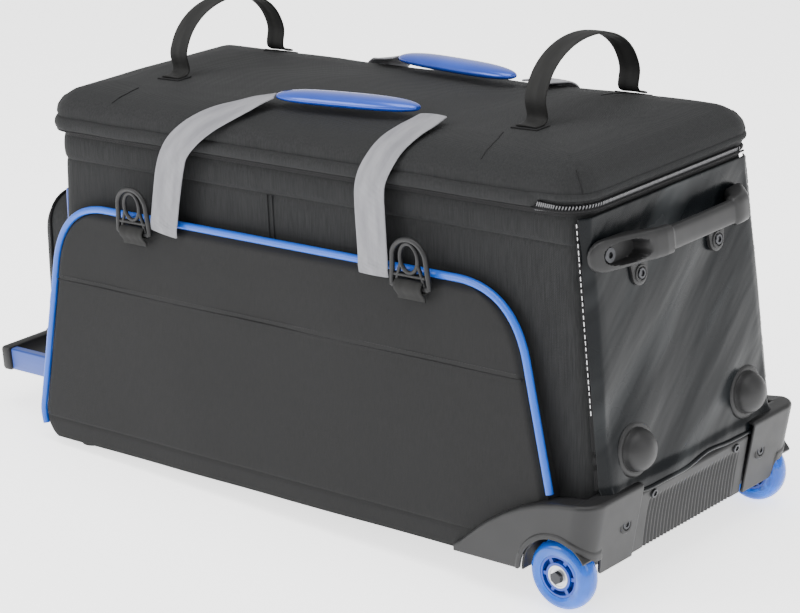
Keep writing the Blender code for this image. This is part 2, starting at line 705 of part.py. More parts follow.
def make_dring(side, x, place):
    """A moulded D-ring: an inner loop, two side windows and a bar held in a loop of webbing."""
    y = side * (pocket_y(DRING_BAR_Z) + 0.0066 + GAP)
    name = f"{name_of(side)}_{place}"
    outer = [(-0.0245, -0.0025), (-0.0240, 0.0120), (-0.0200, 0.0270)]
    outer += [(0.0170 * math.cos(a), 0.0300 + 0.0170 * math.sin(a)) for a in
              [math.radians(180 - 180 * i / 10) for i in range(11)]]
    outer += [(0.0200, 0.0270), (0.0240, 0.0120), (0.0245, -0.0025)]
    slot = [(-0.0185, 0.0025), (0.0185, 0.0025), (0.0185, 0.0080), (-0.0185, 0.0080)]
    oval = [(0.0095 * math.cos(a), 0.0275 + 0.0150 * math.sin(a)) for a in
            [2 * math.pi * i / 16 for i in range(16)]]
    left_window = [(-0.0200, 0.0120), (-0.0160, 0.0110), (-0.0135, 0.0230), (-0.0165, 0.0255)]
    right_window = [(-px, pz) for px, pz in left_window]
    curve = bpy.data.curves.new(f"dring_{name}", "CURVE")
    curve.dimensions = "2D"
    curve.fill_mode = "BOTH"
    curve.extrude = 0.0022
    for loop in (outer, slot, oval, left_window, right_window):
        spline = curve.splines.new("POLY")
        spline.points.add(len(loop) - 1)
        for target, (px, pz) in zip(spline.points, loop):
            target.co = (px, pz, 0, 1)
        spline.use_cyclic_u = True
    ring = add_object(f"dring_{name}", curve, "moulded_plastic")
    ring.location = (x, y, DRING_BAR_Z)
    ring.rotation_euler = (math.pi / 2, 0, 0)
    tab = [(0.0043, 0.0165), (0.0063, 0.0165), (0.0063, -0.0165), (0.0043, -0.0165)]
    turned(f"dring_tab_{name}", tab, (x, y, DRING_BAR_Z), (0, math.pi / 2, 0), "black_webbing", steps=16)


# Set down -----------------------------------------------------------------------------------------

def resting_tilt():
    """The angle at which the wheels and the feet both touch the ground."""
    run = AXLE_X - FOOT_X
    drop = WHEEL_RADIUS - FOOT_BOTTOM
    reach = math.hypot(run, drop)
    return math.asin(WHEEL_RADIUS / reach) - math.atan2(drop, run)


def set_down(tilt):
    """Turn the bag about its axle by the tilt, and put its middle over the origin."""
    STANCE.rotation_euler = (0, -tilt, 0)
    STANCE.location = Vector((AXLE_X, 0, WHEEL_RADIUS)) - turned_point((AXLE_X, 0, WHEEL_RADIUS), tilt)
    bpy.context.view_layer.update()
    depsgraph = bpy.context.evaluated_depsgraph_get()
    low, high = math.inf, -math.inf
    for thing in PARTS.objects:
        if thing.type in {"MESH", "CURVE"}:
            solid = thing.evaluated_get(depsgraph)
            mesh = solid.to_mesh()
            for vertex in mesh.vertices:
                x = (thing.matrix_world @ vertex.co).x
                low, high = min(low, x), max(high, x)
            solid.to_mesh_clear()
    STANCE.location.x -= (low + high) / 2


def turned_point(point, tilt):
    x, y, z = point
    return Vector((x * math.cos(tilt) - z * math.sin(tilt), y, x * math.sin(tilt) + z * math.cos(tilt)))


def main():
    tilt = resting_tilt()
    make_body()
    make_zip_band()
    make_zip_sliders()
    make_end_pocket()
    make_end_panel()
    make_end_handle()
    make_skid_plate()
    make_feet(tilt)
    make_pull_handle()
    make_lid()
    make_tie_straps()
    for side in (-1, 1):
        make_side_pocket(side)
        make_housing(side)
        make_wheel(side)
        make_carry_handle(side)
        for x, place in zip(DRING_X, ("left", "right")):
            make_dring(side, x, place)
    set_down(tilt)


main()
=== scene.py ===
# %% [markdown]
# # A wheeled soft-sided equipment bag
# The bag is a padded cloth tub on a hard tray, with a zipped lid, flat side pockets edged in blue tube,
# two skate wheels in moulded corners and a pull handle that slides out of the other end. The packed
# model gives every measure and every moving body. This lesson dresses it: each cell makes one piece or
# one finish, in the order in which a bag maker would sew and bolt them on.

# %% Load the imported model
import json
import math

import bmesh
import bpy
from mathutils import Matrix, Vector, noise


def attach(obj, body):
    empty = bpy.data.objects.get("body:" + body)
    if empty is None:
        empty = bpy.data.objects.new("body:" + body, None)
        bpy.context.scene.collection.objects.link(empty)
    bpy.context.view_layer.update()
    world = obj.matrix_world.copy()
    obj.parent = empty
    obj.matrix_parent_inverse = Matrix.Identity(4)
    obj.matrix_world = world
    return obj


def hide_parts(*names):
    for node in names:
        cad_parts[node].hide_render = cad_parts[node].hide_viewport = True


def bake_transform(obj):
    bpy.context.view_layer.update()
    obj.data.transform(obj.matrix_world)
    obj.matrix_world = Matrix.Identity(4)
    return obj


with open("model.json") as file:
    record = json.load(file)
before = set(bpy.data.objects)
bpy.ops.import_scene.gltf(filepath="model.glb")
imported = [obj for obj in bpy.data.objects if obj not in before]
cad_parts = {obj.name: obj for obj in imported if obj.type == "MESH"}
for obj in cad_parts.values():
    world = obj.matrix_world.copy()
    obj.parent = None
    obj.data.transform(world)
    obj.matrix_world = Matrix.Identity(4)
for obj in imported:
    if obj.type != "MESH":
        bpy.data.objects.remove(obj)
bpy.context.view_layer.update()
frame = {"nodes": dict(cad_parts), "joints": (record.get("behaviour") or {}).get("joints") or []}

# %% [markdown]
# ## The bag's own level frame
# The bag stands on two wheels and two lower feet, so it leans by about two degrees. Modelling on a slope
# is awkward. It could be done by turning every number, but it is simpler to model in a level frame and
# set the whole mesh down at the end. The lid's hinge gives the lean, because the record states its axis.

# %% The stance of the bag
hinge = {joint["name"]: joint for joint in frame["joints"]}["lid_hinge"]
HINGE_IN_BAG = Vector((0.0, 0.131, 0.3712))
LEAN = math.atan2(-hinge["axis"][2], -hinge["axis"][0])
STANCE = (Matrix.Translation(hinge["pos_m"]) @ Matrix.Rotation(-LEAN, 4, "Y")
          @ Matrix.Translation(-HINGE_IN_BAG))
LEVEL = STANCE.inverted()


def bag_box(node):
    """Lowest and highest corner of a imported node, in the bag's level frame."""
    points = [LEVEL @ vertex.co for vertex in frame["nodes"][node].data.vertices]
    low = Vector(min(point[axis] for point in points) for axis in range(3))
    high = Vector(max(point[axis] for point in points) for axis in range(3))
    return low, high


print("lean in degrees:", round(math.degrees(LEAN), 2))

# %% [markdown]
# ## The slopes of the tub
# The tub is wider at its tray than at its rim, and its wheel end has a knee above the wheels. A few small
# functions give the surface at any height, so that every piece that lies on the tub agrees with it.

# %% Surfaces of the tub
tray_low, tray_high = bag_box("base_tray")
band_low, band_high = bag_box("zip_band")
panel_low, panel_high = bag_box("end_panel")
pocket_low, pocket_high = bag_box("front_pocket")
TRAY_Z = tray_low.z
RIM_Z = band_high.z
KNEE_Z = panel_low.z
POCKET_TOP = pocket_high.z
RIM_HALF_LENGTH = 0.344
RIM_HALF_WIDTH = 0.129
KNEE_X = 0.358
WHEEL_END_FOOT_X = 0.340
PULL_END_FOOT_X = -0.372
POCKET_TOP_Y = 0.1445
LOW_CORNER = 0.030


def mix(a, b, share):
    return a + (b - a) * share


def ease(share):
    """0 to 1 with a soft start and a soft end."""
    share = min(max(share, 0.0), 1.0)
    return share * share * (3 - 2 * share)


def follow(value, knots):
    """Read a value off straight runs between knots of (value, result)."""
    if value <= knots[0][0]:
        return knots[0][1]
    for (start, low), (stop, high) in zip(knots, knots[1:]):
        if value <= stop:
            return mix(low, high, (value - start) / (stop - start))
    return knots[-1][1]


def side_y(z):
    return mix(tray_high.y, RIM_HALF_WIDTH, (z - TRAY_Z) / (RIM_Z - TRAY_Z))


def rounded_under(z):
    """How far the pull-handle end tucks in near the ground."""
    below = max(TRAY_Z + LOW_CORNER - z, 0.0) / LOW_CORNER
    return LOW_CORNER * (1 - math.sqrt(1 - 0.9 * min(below, 1.0) ** 2))


def left_x(z):
    level = mix(PULL_END_FOOT_X, -RIM_HALF_LENGTH, (z - TRAY_Z) / (RIM_Z - TRAY_Z))
    return level + rounded_under(z)


def end_x(z):
    if z > KNEE_Z:
        return mix(KNEE_X, RIM_HALF_LENGTH, (z - KNEE_Z) / (RIM_Z - KNEE_Z))
    return mix(WHEEL_END_FOOT_X, KNEE_X, (z - TRAY_Z) / (KNEE_Z - TRAY_Z))


def pocket_y(z):
    return mix(-pocket_low.y, POCKET_TOP_Y, (z - TRAY_Z) / (POCKET_TOP - TRAY_Z))


print("tray", [round(v, 4) for v in tray_low], [round(v, 4) for v in tray_high])
print("rim", round(RIM_Z, 4))

# %% [markdown]
# ## Finishes
# Each finish is a Principled material with its own small node tree. The pattern comes from noise and
# waves on Object coordinates, which are metres here, so a scale of 1000 is a detail of a millimetre. A
# value that is the same all over is set on the shader itself.

# %% Tools for finishes
def new_finish(name, colour, roughness, **sockets):
    """A material with these values on its Principled shader."""
    material = bpy.data.materials.new(name)
    material.use_nodes = True
    shader = material.node_tree.nodes["Principled BSDF"]
    shader.inputs["Base Color"].default_value = (*colour, 1.0)
    shader.inputs["Roughness"].default_value = roughness
    for socket, value in sockets.items():
        shader.inputs[socket.replace("_", " ")].default_value = value
    material.diffuse_color = (*colour, 1.0)
    return material


def pattern(material, kind, scale, stretch=(1, 1, 1), coordinates="Object", turn=(0, 0, 0), **values):
    """A noise or wave pattern on the piece's own coordinates; gives the socket to read."""
    tree = material.node_tree
    source = tree.nodes.new("ShaderNodeTexCoord")
    mapping = tree.nodes.new("ShaderNodeMapping")
    mapping.vector_type = "TEXTURE"
    mapping.inputs["Scale"].default_value = [1 / value for value in stretch]
    mapping.inputs["Rotation"].default_value = turn
    texture = tree.nodes.new({"noise": "ShaderNodeTexNoise", "wave": "ShaderNodeTexWave"}[kind])
    texture.inputs["Scale"].default_value = scale
    for socket, value in values.items():
        if socket == "direction":
            texture.bands_direction = value
        else:
            texture.inputs[socket.replace("_", " ")].default_value = value
    tree.links.new(source.outputs[coordinates], mapping.inputs["Vector"])
    tree.links.new(mapping.outputs["Vector"], texture.inputs["Vector"])
    return texture.outputs["Fac"]


def blend_colours(material, factor, dark, light, low=0.3, high=0.7):
    """Run the base colour between two colours as a pattern goes from low to high."""
    tree = material.node_tree
    ramp = tree.nodes.new("ShaderNodeValToRGB")
    ramp.color_ramp.elements[0].position = low
    ramp.color_ramp.elements[0].color = (*dark, 1.0)
    ramp.color_ramp.elements[1].position = high
    ramp.color_ramp.elements[1].color = (*light, 1.0)
    tree.links.new(factor, ramp.inputs["Fac"])
    tree.links.new(ramp.outputs["Color"], tree.nodes["Principled BSDF"].inputs["Base Color"])


def vary_roughness(material, factor, low, high):
    tree = material.node_tree
    span = tree.nodes.new("ShaderNodeMapRange")
    span.inputs["To Min"].default_value = low
    span.inputs["To Max"].default_value = high
    tree.links.new(factor, span.inputs["Value"])
    tree.links.new(span.outputs["Result"], tree.nodes["Principled BSDF"].inputs["Roughness"])


def raise_relief(material, factor, depth, strength=1.0):
    """Add a bump of this depth in metres, on top of any bump already there."""
    tree = material.node_tree
    shader = tree.nodes["Principled BSDF"]
    bump = tree.nodes.new("ShaderNodeBump")
    bump.inputs["Strength"].default_value = strength
    bump.inputs["Distance"].default_value = depth
    tree.links.new(factor, bump.inputs["Height"])
    if shader.inputs["Normal"].links:
        tree.links.new(shader.inputs["Normal"].links[0].from_socket, bump.inputs["Normal"])
    tree.links.new(bump.outputs["Normal"], shader.inputs["Normal"])


# %% [markdown]
# ### Cloths
# The tub and the lid are a heavy charcoal nylon with a fine upright grain. The pocket is a closer cloth,
# almost smooth. A stretched noise gives the grain its streaks, and two crossed waves give the threads.

# %% Cloth finishes
def new_cloth(name, dark, light, thread, relief, roughness=0.82):
    """A woven cloth: streaks along the warp, and threads both ways in relief."""
    cloth = new_finish(name, light, roughness, Sheen_Weight=0.02, Specular_IOR_Level=0.16)
    streaks = pattern(cloth, "noise", 1.0, (1 / thread, 1 / thread, 28.0), Detail=3.0, Roughness=0.6)
    blend_colours(cloth, streaks, dark, light, 0.34, 0.66)
    warp = pattern(cloth, "wave", 0.32 / thread, direction="DIAGONAL", Distortion=0.6)
    weft = pattern(cloth, "wave", 0.5 / thread, direction="Z", Distortion=0.4)
    slub = pattern(cloth, "noise", 60.0, Detail=4.0)
    raise_relief(cloth, warp, relief)
    raise_relief(cloth, weft, relief)
    raise_relief(cloth, slub, relief * 2.5)
    return cloth


TUB_CLOTH = new_cloth("tub_cloth", (0.0125, 0.0130, 0.0135), (0.0215, 0.0220, 0.0225),
                      0.0011, 0.00012)
POCKET_CLOTH = new_cloth("pocket_cloth", (0.0095, 0.0097, 0.0099), (0.0135, 0.0136, 0.0138),
                         0.0007, 0.00005, 0.7)
LINING_CLOTH = new_cloth("lining_cloth", (0.040, 0.042, 0.045), (0.064, 0.066, 0.070),
                         0.0009, 0.00008, 0.85)
BINDING = new_cloth("binding_tape", (0.007, 0.007, 0.0075), (0.013, 0.013, 0.0135),
                    0.0006, 0.0001, 0.75)
THREAD_BLACK = new_finish("black_thread", (0.012, 0.012, 0.013), 0.7)
THREAD_WHITE = new_finish("white_thread", (0.62, 0.62, 0.63), 0.6)
raise_relief(THREAD_BLACK, pattern(THREAD_BLACK, "noise", 2500.0), 0.0001)
raise_relief(THREAD_WHITE, pattern(THREAD_WHITE, "noise", 2500.0), 0.0001)
print("cloths:", TUB_CLOTH.name, POCKET_CLOTH.name, LINING_CLOTH.name, BINDING.name)

# %% [markdown]
# ### Coated sheet
# The wheel end takes knocks, so it is covered with a shiny tarpaulin. What one sees of it is mostly
# reflection. The big folds are modelled in the mesh. The finish adds shallow creases and a patchy gloss,
# and paler streaks of painted reflection slant in its colour the same way as the folds.

# %% Coated sheet finish
FOLD_ANGLE = math.radians(40)
COATED = new_finish("coated_sheet", (0.0050, 0.0068, 0.0082), 0.3, Specular_IOR_Level=0.14,
                    Coat_Weight=0.02, Coat_Roughness=0.2)
creases = pattern(COATED, "noise", 1.0, (8.0, 9.0, 44.0), turn=(FOLD_ANGLE, 0, 0),
                  Detail=2.0, Roughness=0.4)
# painted reflection: paler streaks along the folds, blended into the base colour to stand for what the
# sheet reflects
painted_reflections = pattern(COATED, "noise", 1.0, (4.0, 5.0, 26.0), turn=(FOLD_ANGLE, 0, 0),
                  Detail=1.5, Roughness=0.4)
blend_colours(COATED, painted_reflections, (0.0032, 0.0042, 0.0052), (0.030, 0.033, 0.035), 0.50, 0.74)
vary_roughness(COATED, pattern(COATED, "noise", 12.0, Detail=3.0), 0.20, 0.34)
raise_relief(COATED, creases, 0.003, 0.5)
raise_relief(COATED, pattern(COATED, "noise", 900.0, Detail=2.0), 0.00003)
print("coated sheet:", COATED.name)

# %% [markdown]
# ### Moulded plastics, rubber and steel
# A moulded part has a fine spark-eroded texture that softens its gloss. A very small noise in the relief
# does that. Edges and high spots are a little shinier, so a larger noise varies the roughness.

# %% Plastic, rubber and steel finishes
def new_moulded(name, colour, roughness, grain=0.00004, **sockets):
    moulded = new_finish(name, colour, roughness, Specular_IOR_Level=0.34, **sockets)
    vary_roughness(moulded, pattern(moulded, "noise", 45.0, Detail=4.0), roughness - 0.07, roughness + 0.09)
    raise_relief(moulded, pattern(moulded, "noise", 1400.0, Detail=2.0), grain)
    return moulded


PLASTIC = new_moulded("moulded_plastic", (0.012, 0.012, 0.0125), 0.46)
RUBBER = new_moulded("bumper_rubber", (0.014, 0.014, 0.0145), 0.5, 0.00005)
GRIP_BLACK = new_moulded("grip_black", (0.008, 0.008, 0.0085), 0.48)
STEEL = new_finish("steel", (0.55, 0.56, 0.58), 0.25, Metallic=1.0)
DARK_STEEL = new_finish("dark_steel", (0.045, 0.046, 0.05), 0.36, Metallic=0.85)
ZIP_METAL = new_finish("zip_teeth", (0.13, 0.13, 0.135), 0.35, Metallic=0.6)
for metal in (STEEL, DARK_STEEL, ZIP_METAL):
    vary_roughness(metal, pattern(metal, "noise", 300.0, Detail=3.0), 0.22, 0.42)
    raise_relief(metal, pattern(metal, "noise", 1800.0), 0.00002)
print("hard finishes:", PLASTIC.name, RUBBER.name, GRIP_BLACK.name, STEEL.name, DARK_STEEL.name)

# %% [markdown]
# ### The blues
# Blue runs over the bag in five materials: a soft plastic tube, a glossy grip, painted metal, clear
# urethane tyres and the plastic cores inside them. The urethane lets light through, so its core shows
# as a shadow. Each gets a faint unevenness of colour, since a flat blue would look like a toy.

# %% Blue finishes
BLUE_TUBE = new_finish("blue_tube", (0.006, 0.092, 0.52), 0.34, Subsurface_Weight=0.05,
                       Subsurface_Scale=0.002, Coat_Weight=0.08, Coat_Roughness=0.25)
blend_colours(BLUE_TUBE, pattern(BLUE_TUBE, "noise", 9.0, Detail=3.0),
              (0.005, 0.085, 0.49), (0.008, 0.105, 0.57))
raise_relief(BLUE_TUBE, pattern(BLUE_TUBE, "noise", 260.0), 0.0001)
BLUE_GRIP = new_finish("blue_grip", (0.008, 0.055, 0.42), 0.24, Metallic=0.30, Coat_Weight=0.5,
                       Coat_Roughness=0.15)
blend_colours(BLUE_GRIP, pattern(BLUE_GRIP, "noise", 25.0, Detail=2.0),
              (0.007, 0.048, 0.38), (0.011, 0.066, 0.47))
raise_relief(BLUE_GRIP, pattern(BLUE_GRIP, "noise", 700.0), 0.00002)
BLUE_METAL = new_finish("blue_metal", (0.008, 0.050, 0.30), 0.36, Metallic=0.25)
blend_colours(BLUE_METAL, pattern(BLUE_METAL, "noise", 1.0, (6.0, 300.0, 300.0), Detail=2.0),
              (0.007, 0.045, 0.28), (0.010, 0.058, 0.33))
raise_relief(BLUE_METAL, pattern(BLUE_METAL, "noise", 900.0), 0.00002)
URETHANE = new_finish("blue_urethane", (0.008, 0.15, 0.74), 0.14, Transmission_Weight=0.45, IOR=1.45,
                      Subsurface_Weight=0.25, Subsurface_Scale=0.004)
blend_colours(URETHANE, pattern(URETHANE, "noise", 40.0, Detail=2.0),
              (0.007, 0.135, 0.70), (0.011, 0.17, 0.80))
raise_relief(URETHANE, pattern(URETHANE, "noise", 350.0), 0.00003)
CORE_BLUE = new_finish("core_blue", (0.004, 0.045, 0.34), 0.35)
blend_colours(CORE_BLUE, pattern(CORE_BLUE, "noise", 120.0), (0.003, 0.038, 0.30), (0.006, 0.055, 0.40))
raise_relief(CORE_BLUE, pattern(CORE_BLUE, "noise", 1100.0), 0.00003)
print("blues:", BLUE_TUBE.name, BLUE_GRIP.name, BLUE_METAL.name, URETHANE.name, CORE_BLUE.name)

# %% [markdown]
# ### Webbing
# Webbing has ribs along its length. The straps are made with a UV map in metres, U across and V along, so
# a wave on U gives the ribs wherever the strap turns, and a second, slanting wave gives the picks.

# %% Webbing finishes
def new_webbing(name, dark, light, ribs_per_metre, relief):
    webbing = new_finish(name, light, 0.72, Specular_IOR_Level=0.2)
    ribs = pattern(webbing, "wave", ribs_per_metre * 0.05, coordinates="UV", direction="X",
                   Distortion=0.25, Detail=1.0)
    picks = pattern(webbing, "wave", 45.0, coordinates="UV", direction="DIAGONAL", Distortion=0.3)
    wear = pattern(webbing, "noise", 1.0, (90.0, 14.0, 1.0), "UV", Detail=4.0)
    blend_colours(webbing, wear, dark, light, 0.3, 0.62)
    raise_relief(webbing, ribs, relief)
    raise_relief(webbing, picks, relief * 0.35)
    return webbing


GREY_WEB = new_webbing("grey_webbing", (0.175, 0.175, 0.19), (0.24, 0.24, 0.255), 210, 0.0005)
BLACK_WEB = new_webbing("black_webbing", (0.009, 0.009, 0.0088), (0.017, 0.017, 0.0165), 620, 0.00018)
print("webbings:", GREY_WEB.name, BLACK_WEB.name)

# %% [markdown]
# ## Tools for modelling
# Three ways of making a surface cover almost every soft piece. A *skin* is an outline extruded from
# section to section. A *sheet* is a grid laid over a surface by a function. A *tube* is a skin whose
# sections are circles along a line. All three use bmesh's own operators and only move the new points.

# %% Skins
def skin_into(bm, sections, capped=True, closed=False):
    """Extrude an outline through sections of equally many points; closed joins the last to the first."""
    order = bm.verts.layers.int.get("order") or bm.verts.layers.int.new("order")
    start = bmesh.ops.create_circle(bm, segments=len(sections[0]), radius=1.0)["verts"]
    for index, vertex in enumerate(start):
        vertex[order] = index
        vertex.co = sections[0][index]
    edges = [edge for edge in bm.edges if edge.verts[0] in start and edge.verts[1] in start]
    first = list(edges)
    for section in sections[1:]:
        grown = bmesh.ops.extrude_edge_only(bm, edges=edges)["geom"]
        fresh = {item for item in grown if isinstance(item, bmesh.types.BMVert)}
        for vertex in fresh:
            vertex.co = section[vertex[order]]
        edges = [item for item in grown if isinstance(item, bmesh.types.BMEdge)
                 and item.verts[0] in fresh and item.verts[1] in fresh]
    if closed:
        bmesh.ops.bridge_loops(bm, edges=first + edges)
    elif capped:
        bmesh.ops.holes_fill(bm, edges=first)
        bmesh.ops.holes_fill(bm, edges=edges)


def skin(sections, capped=True, closed=False):
    bm = bmesh.new()
    skin_into(bm, sections, capped, closed)
    return bm


# %% Sheets
def sheet(columns, rows, place, size=(1.0, 1.0)):
    """A grid of columns by rows, each point laid where place(u, v) says; its UV map is in metres."""
    bm = bmesh.new()
    bmesh.ops.create_grid(bm, x_segments=columns, y_segments=rows, size=0.5)
    uv_map = bm.loops.layers.uv.new("cloth")
    for face in bm.faces:
        for corner in face.loops:
            u, v = corner.vert.co.x + 0.5, corner.vert.co.y + 0.5
            corner[uv_map].uv = (u * size[0], v * size[1])
    for vertex in bm.verts:
        vertex.co = place(vertex.co.x + 0.5, vertex.co.y + 0.5)
    return bm


# %% Tubes
def smooth_line(points, steps):
    """A Catmull-Rom curve through the points."""
    points = [Vector(point) for point in points]
    last = len(points) - 1
    line = []
    for index in range(last):
        before, here = points[max(index - 1, 0)], points[index]
        there, after = points[index + 1], points[min(index + 2, last)]
        for step in range(steps):
            t = step / steps
            line.append(0.5 * (2 * here + (there - before) * t
                               + (2 * before - 5 * here + 4 * there - after) * t * t
                               + (3 * here - before - 3 * there + after) * t ** 3))
    return line + [points[-1]]


def tube_into(bm, line, radius, sides=12, closed=False, up=Vector((0, 0, 1))):
    """A round tube along a line."""
    sections = []
    count = len(line)
    turns = [2 * math.pi * k / sides for k in range(sides)]
    for index, centre in enumerate(line):
        ahead = line[(index + 1) % count] if closed else line[min(index + 1, count - 1)]
        behind = line[index - 1] if closed or index else line[0]
        along = (ahead - behind).normalized()
        across = along.cross(up)
        if across.length <= 0.05:
            across = along.cross(Vector((0, 1, 0)))
        across = across.normalized()
        over = across.cross(along)
        sections.append([centre + across * radius * math.cos(a) + over * radius * math.sin(a)
                         for a in turns])
    skin_into(bm, sections, capped=not closed, closed=closed)


def tube(line, radius, sides=12, closed=False):
    bm = bmesh.new()
    tube_into(bm, line, radius, sides, closed)
    return bm


# %% Handing a piece over
def finished(name, bm, finish, body=None, nodes=(), sharp=38, turn_out=True):
    """Make a level bmesh a finished piece: merged, facing out, set down on its wheels, on its body."""
    bmesh.ops.remove_doubles(bm, verts=bm.verts, dist=0.000002)
    if turn_out:
        bmesh.ops.recalc_face_normals(bm, faces=bm.faces)
    for face in bm.faces:
        face.smooth = True
    for edge in bm.edges:
        edge.smooth = edge.calc_face_angle(0.0) < math.radians(sharp)
    mesh = bpy.data.meshes.new(name)
    bm.to_mesh(mesh)
    bm.free()
    mesh.transform(STANCE)
    mesh.materials.append(finish)
    piece = bpy.data.objects.new(name, mesh)
    bpy.context.scene.collection.objects.link(piece)
    if body:
        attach(piece, body)
    if nodes:
        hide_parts(*nodes)
    return piece


def subdivided(piece):
    """A smoother surface from the same mesh."""
    modifier = piece.modifiers.new("smoother", "SUBSURF")
    modifier.levels = modifier.render_levels = 1


def thickened(piece, thickness, offset=0.0):
    modifier = piece.modifiers.new("cloth thickness", "SOLIDIFY")
    modifier.thickness = thickness
    modifier.offset = offset


def wobble(point, size, amount):
    """A soft unevenness: the same at the same place on every run."""
    return noise.noise(Vector(point) / size) * amount


# %% [markdown]
# ## The tub
# The tub's cloth goes round the bag in one skin. It is smooth between the tray and a sewn seam, then a
# padded band runs up to the zip. The seam is a shallow groove, so the sections are close together there.
# A little noise keeps the long sides from looking like sheet metal.

# %% Outline of the tub
def round_the_bag(half_low, half_high, half_wide, radius, long_steps=72, short_steps=26, corner_steps=7):
    """Points and outward directions round a level rectangle with rounded corners."""
    points = []
    corners = ((half_high - radius, half_wide - radius, 0), (half_low + radius, half_wide - radius, 90),
               (half_low + radius, radius - half_wide, 180), (half_high - radius, radius - half_wide, 270))
    for index, (x, y, start) in enumerate(corners):
        for step in range(corner_steps):
            angle = math.radians(start + 90 * step / corner_steps)
            out = Vector((math.cos(angle), math.sin(angle), 0))
            points.append((Vector((x, y, 0)) + out * radius, out))
        angle = math.radians(start + 90)
        out = Vector((math.cos(angle), math.sin(angle), 0))
        here = Vector((x, y, 0)) + out * radius
        there = Vector((*corners[(index + 1) % 4][:2], 0)) + out * radius
        steps = short_steps if index % 2 else long_steps
        points += [(here.lerp(there, step / steps), out) for step in range(steps)]
    return points


TUB_CORNER = 0.022


def tub_section(z, out, uneven=0.0):
    """The tub's outline at a height, moved outwards and made a little uneven."""
    section = []
    for point, normal in round_the_bag(left_x(z), end_x(z), side_y(z), TUB_CORNER):
        place = Vector((point.x, point.y, z))
        end_on = max(normal.x, 0.0)
        shift = out * (1 - end_on) + wobble(place, 0.09, uneven) * (1 - end_on)
        section.append(place + normal * shift)
    return section


SEAM_Z = 0.3386
band_profile = [(TRAY_Z, 0.0), (SEAM_Z - 0.006, 0.0), (SEAM_Z - 0.0012, -0.0006), (SEAM_Z, -0.0016),
                (SEAM_Z + 0.0012, 0.0002), (SEAM_Z + 0.004, 0.0014), (SEAM_Z + 0.013, 0.0024),
                (SEAM_Z + 0.023, 0.0018), (SEAM_Z + 0.0275, 0.0002), (RIM_Z - 0.0045, -0.0012)]
heights = [TRAY_Z + 0.0042 + 0.0098 * step for step in range(31)]
heights = [z for z in heights if z < SEAM_Z - 0.008] + [z for z, _ in band_profile[1:]]
print("tub sections:", len(heights))

# %% The tub's cloth
outside = [tub_section(z, follow(z, band_profile), uneven=0.0012) for z in heights]
turned_in = [tub_section(RIM_Z - 0.0036, -0.003), tub_section(RIM_Z - 0.0042, -0.0065)]
tub = finished("tub_cloth", skin(outside + turned_in, capped=False), TUB_CLOTH, "bag",
               ["body_shell"])
subdivided(tub)
print("tub faces:", len(tub.data.polygons))

# %% [markdown]
# ## The lining
# When the lid opens one looks into the tub, so it has a paler lining down to the hard board. It is a
# second skin, a wall's thickness inside the first, and it faces inwards.

# %% The lining of the tub
WALL = 0.0092
LINING_TOP_Z, LINING_FOOT_Z = RIM_Z - 0.0044, 0.112
lining_levels = (LINING_TOP_Z, 0.340, 0.30, 0.25, 0.20, 0.15, LINING_FOOT_Z)
lined = [tub_section(z, -WALL, 0.0012) for z in lining_levels]
for section in lined:
    for point in section:
        if point.x > 0.30:
            point.x -= WALL
lining = finished("tub_lining", skin(lined, capped=False), LINING_CLOTH, "bag", (),
                  turn_out=False)
thickened(lining, 0.001, -1.0)
print("lining faces:", len(lining.data.polygons))

# %% [markdown]
# ## Seams on the long sides
# A pair of stitched ridges runs up each side from the pocket to the band, where two widths of cloth
# meet. Each is a thin tube pressed half into the cloth, which is how a felled seam reads.

# %% Felled seams
SIDE_SEAMS = (-0.0400, -0.0335)
for side, side_name in ((-1, "front"), (1, "rear")):
    seam = bmesh.new()
    for x in SIDE_SEAMS:
        rise = [Vector((x, side * (side_y(z) + 0.0004), z)) for z in
                [mix(POCKET_TOP + 0.002, SEAM_Z - 0.001, step / 12) for step in range(13)]]
        tube_into(seam, rise, 0.00095, 8)
    finished(f"side_seam_{side_name}", seam, TUB_CLOTH, "bag", ())
print("side seams at x", *SIDE_SEAMS)

# %% [markdown]
# ## The lid
# The lid is a padded dome with a flat top and sloping sides. A grid keeps its corners tidy: the square
# grid's rings become the dome's rings, pulled round at the corners. The crown swells a little between
# the seams, as foam does under cloth.

# %% Shape of the lid
LID_TOP = bag_box("lid_panel")[1].z
RIM_CORNER = 0.024
FLAT_SHARE = 0.60
dome = [  # share of the way to the edge, distance beyond the rim's line, height
    (0.0, -0.129, LID_TOP + 0.0008), (FLAT_SHARE, -0.046, LID_TOP - 0.0002),
    (0.70, -0.026, LID_TOP - 0.0022), (0.77, -0.012, LID_TOP - 0.0058),
    (0.83, -0.001, LID_TOP - 0.0120), (0.88, 0.0055, LID_TOP - 0.0200),
    (0.92, 0.0078, LID_TOP - 0.0270), (0.96, 0.0064, RIM_Z + 0.0110), (1.0, 0.0016, RIM_Z + 0.0010),
]


def lid_place(u, v, drop=0.0, inwards=0.0):
    """A point of the lid from grid coordinates, -1 to 1 each way."""
    ring = max(abs(u), abs(v), 1e-6)
    out = follow(max(ring, FLAT_SHARE), [(m, o) for m, o, _ in dome]) - inwards
    half_x, half_y = RIM_HALF_LENGTH + out, RIM_HALF_WIDTH + out
    shrink = min(ring / FLAT_SHARE, 1.0)
    x, y = u / ring * half_x * shrink, v / ring * half_y * shrink
    radius = (RIM_CORNER + out) * min(shrink * 1.2, 1.0)
    edge_x, edge_y = half_x * shrink - radius, half_y * shrink - radius
    if abs(x) > edge_x and abs(y) > edge_y:
        corner = Vector((abs(x) - edge_x, abs(y) - edge_y)).normalized() * radius
        x, y = math.copysign(edge_x + corner.x, x), math.copysign(edge_y + corner.y, y)
    z = follow(ring, [(m, h) for m, _, h in dome]) - drop
    swell = 1 - ease((ring - 0.75) / 0.25)
    z += wobble((x, y, 0.3), 0.12, 0.0022) * swell + wobble((x, y, 7.0), 0.045, 0.0007) * swell
    return Vector((x, y, z))


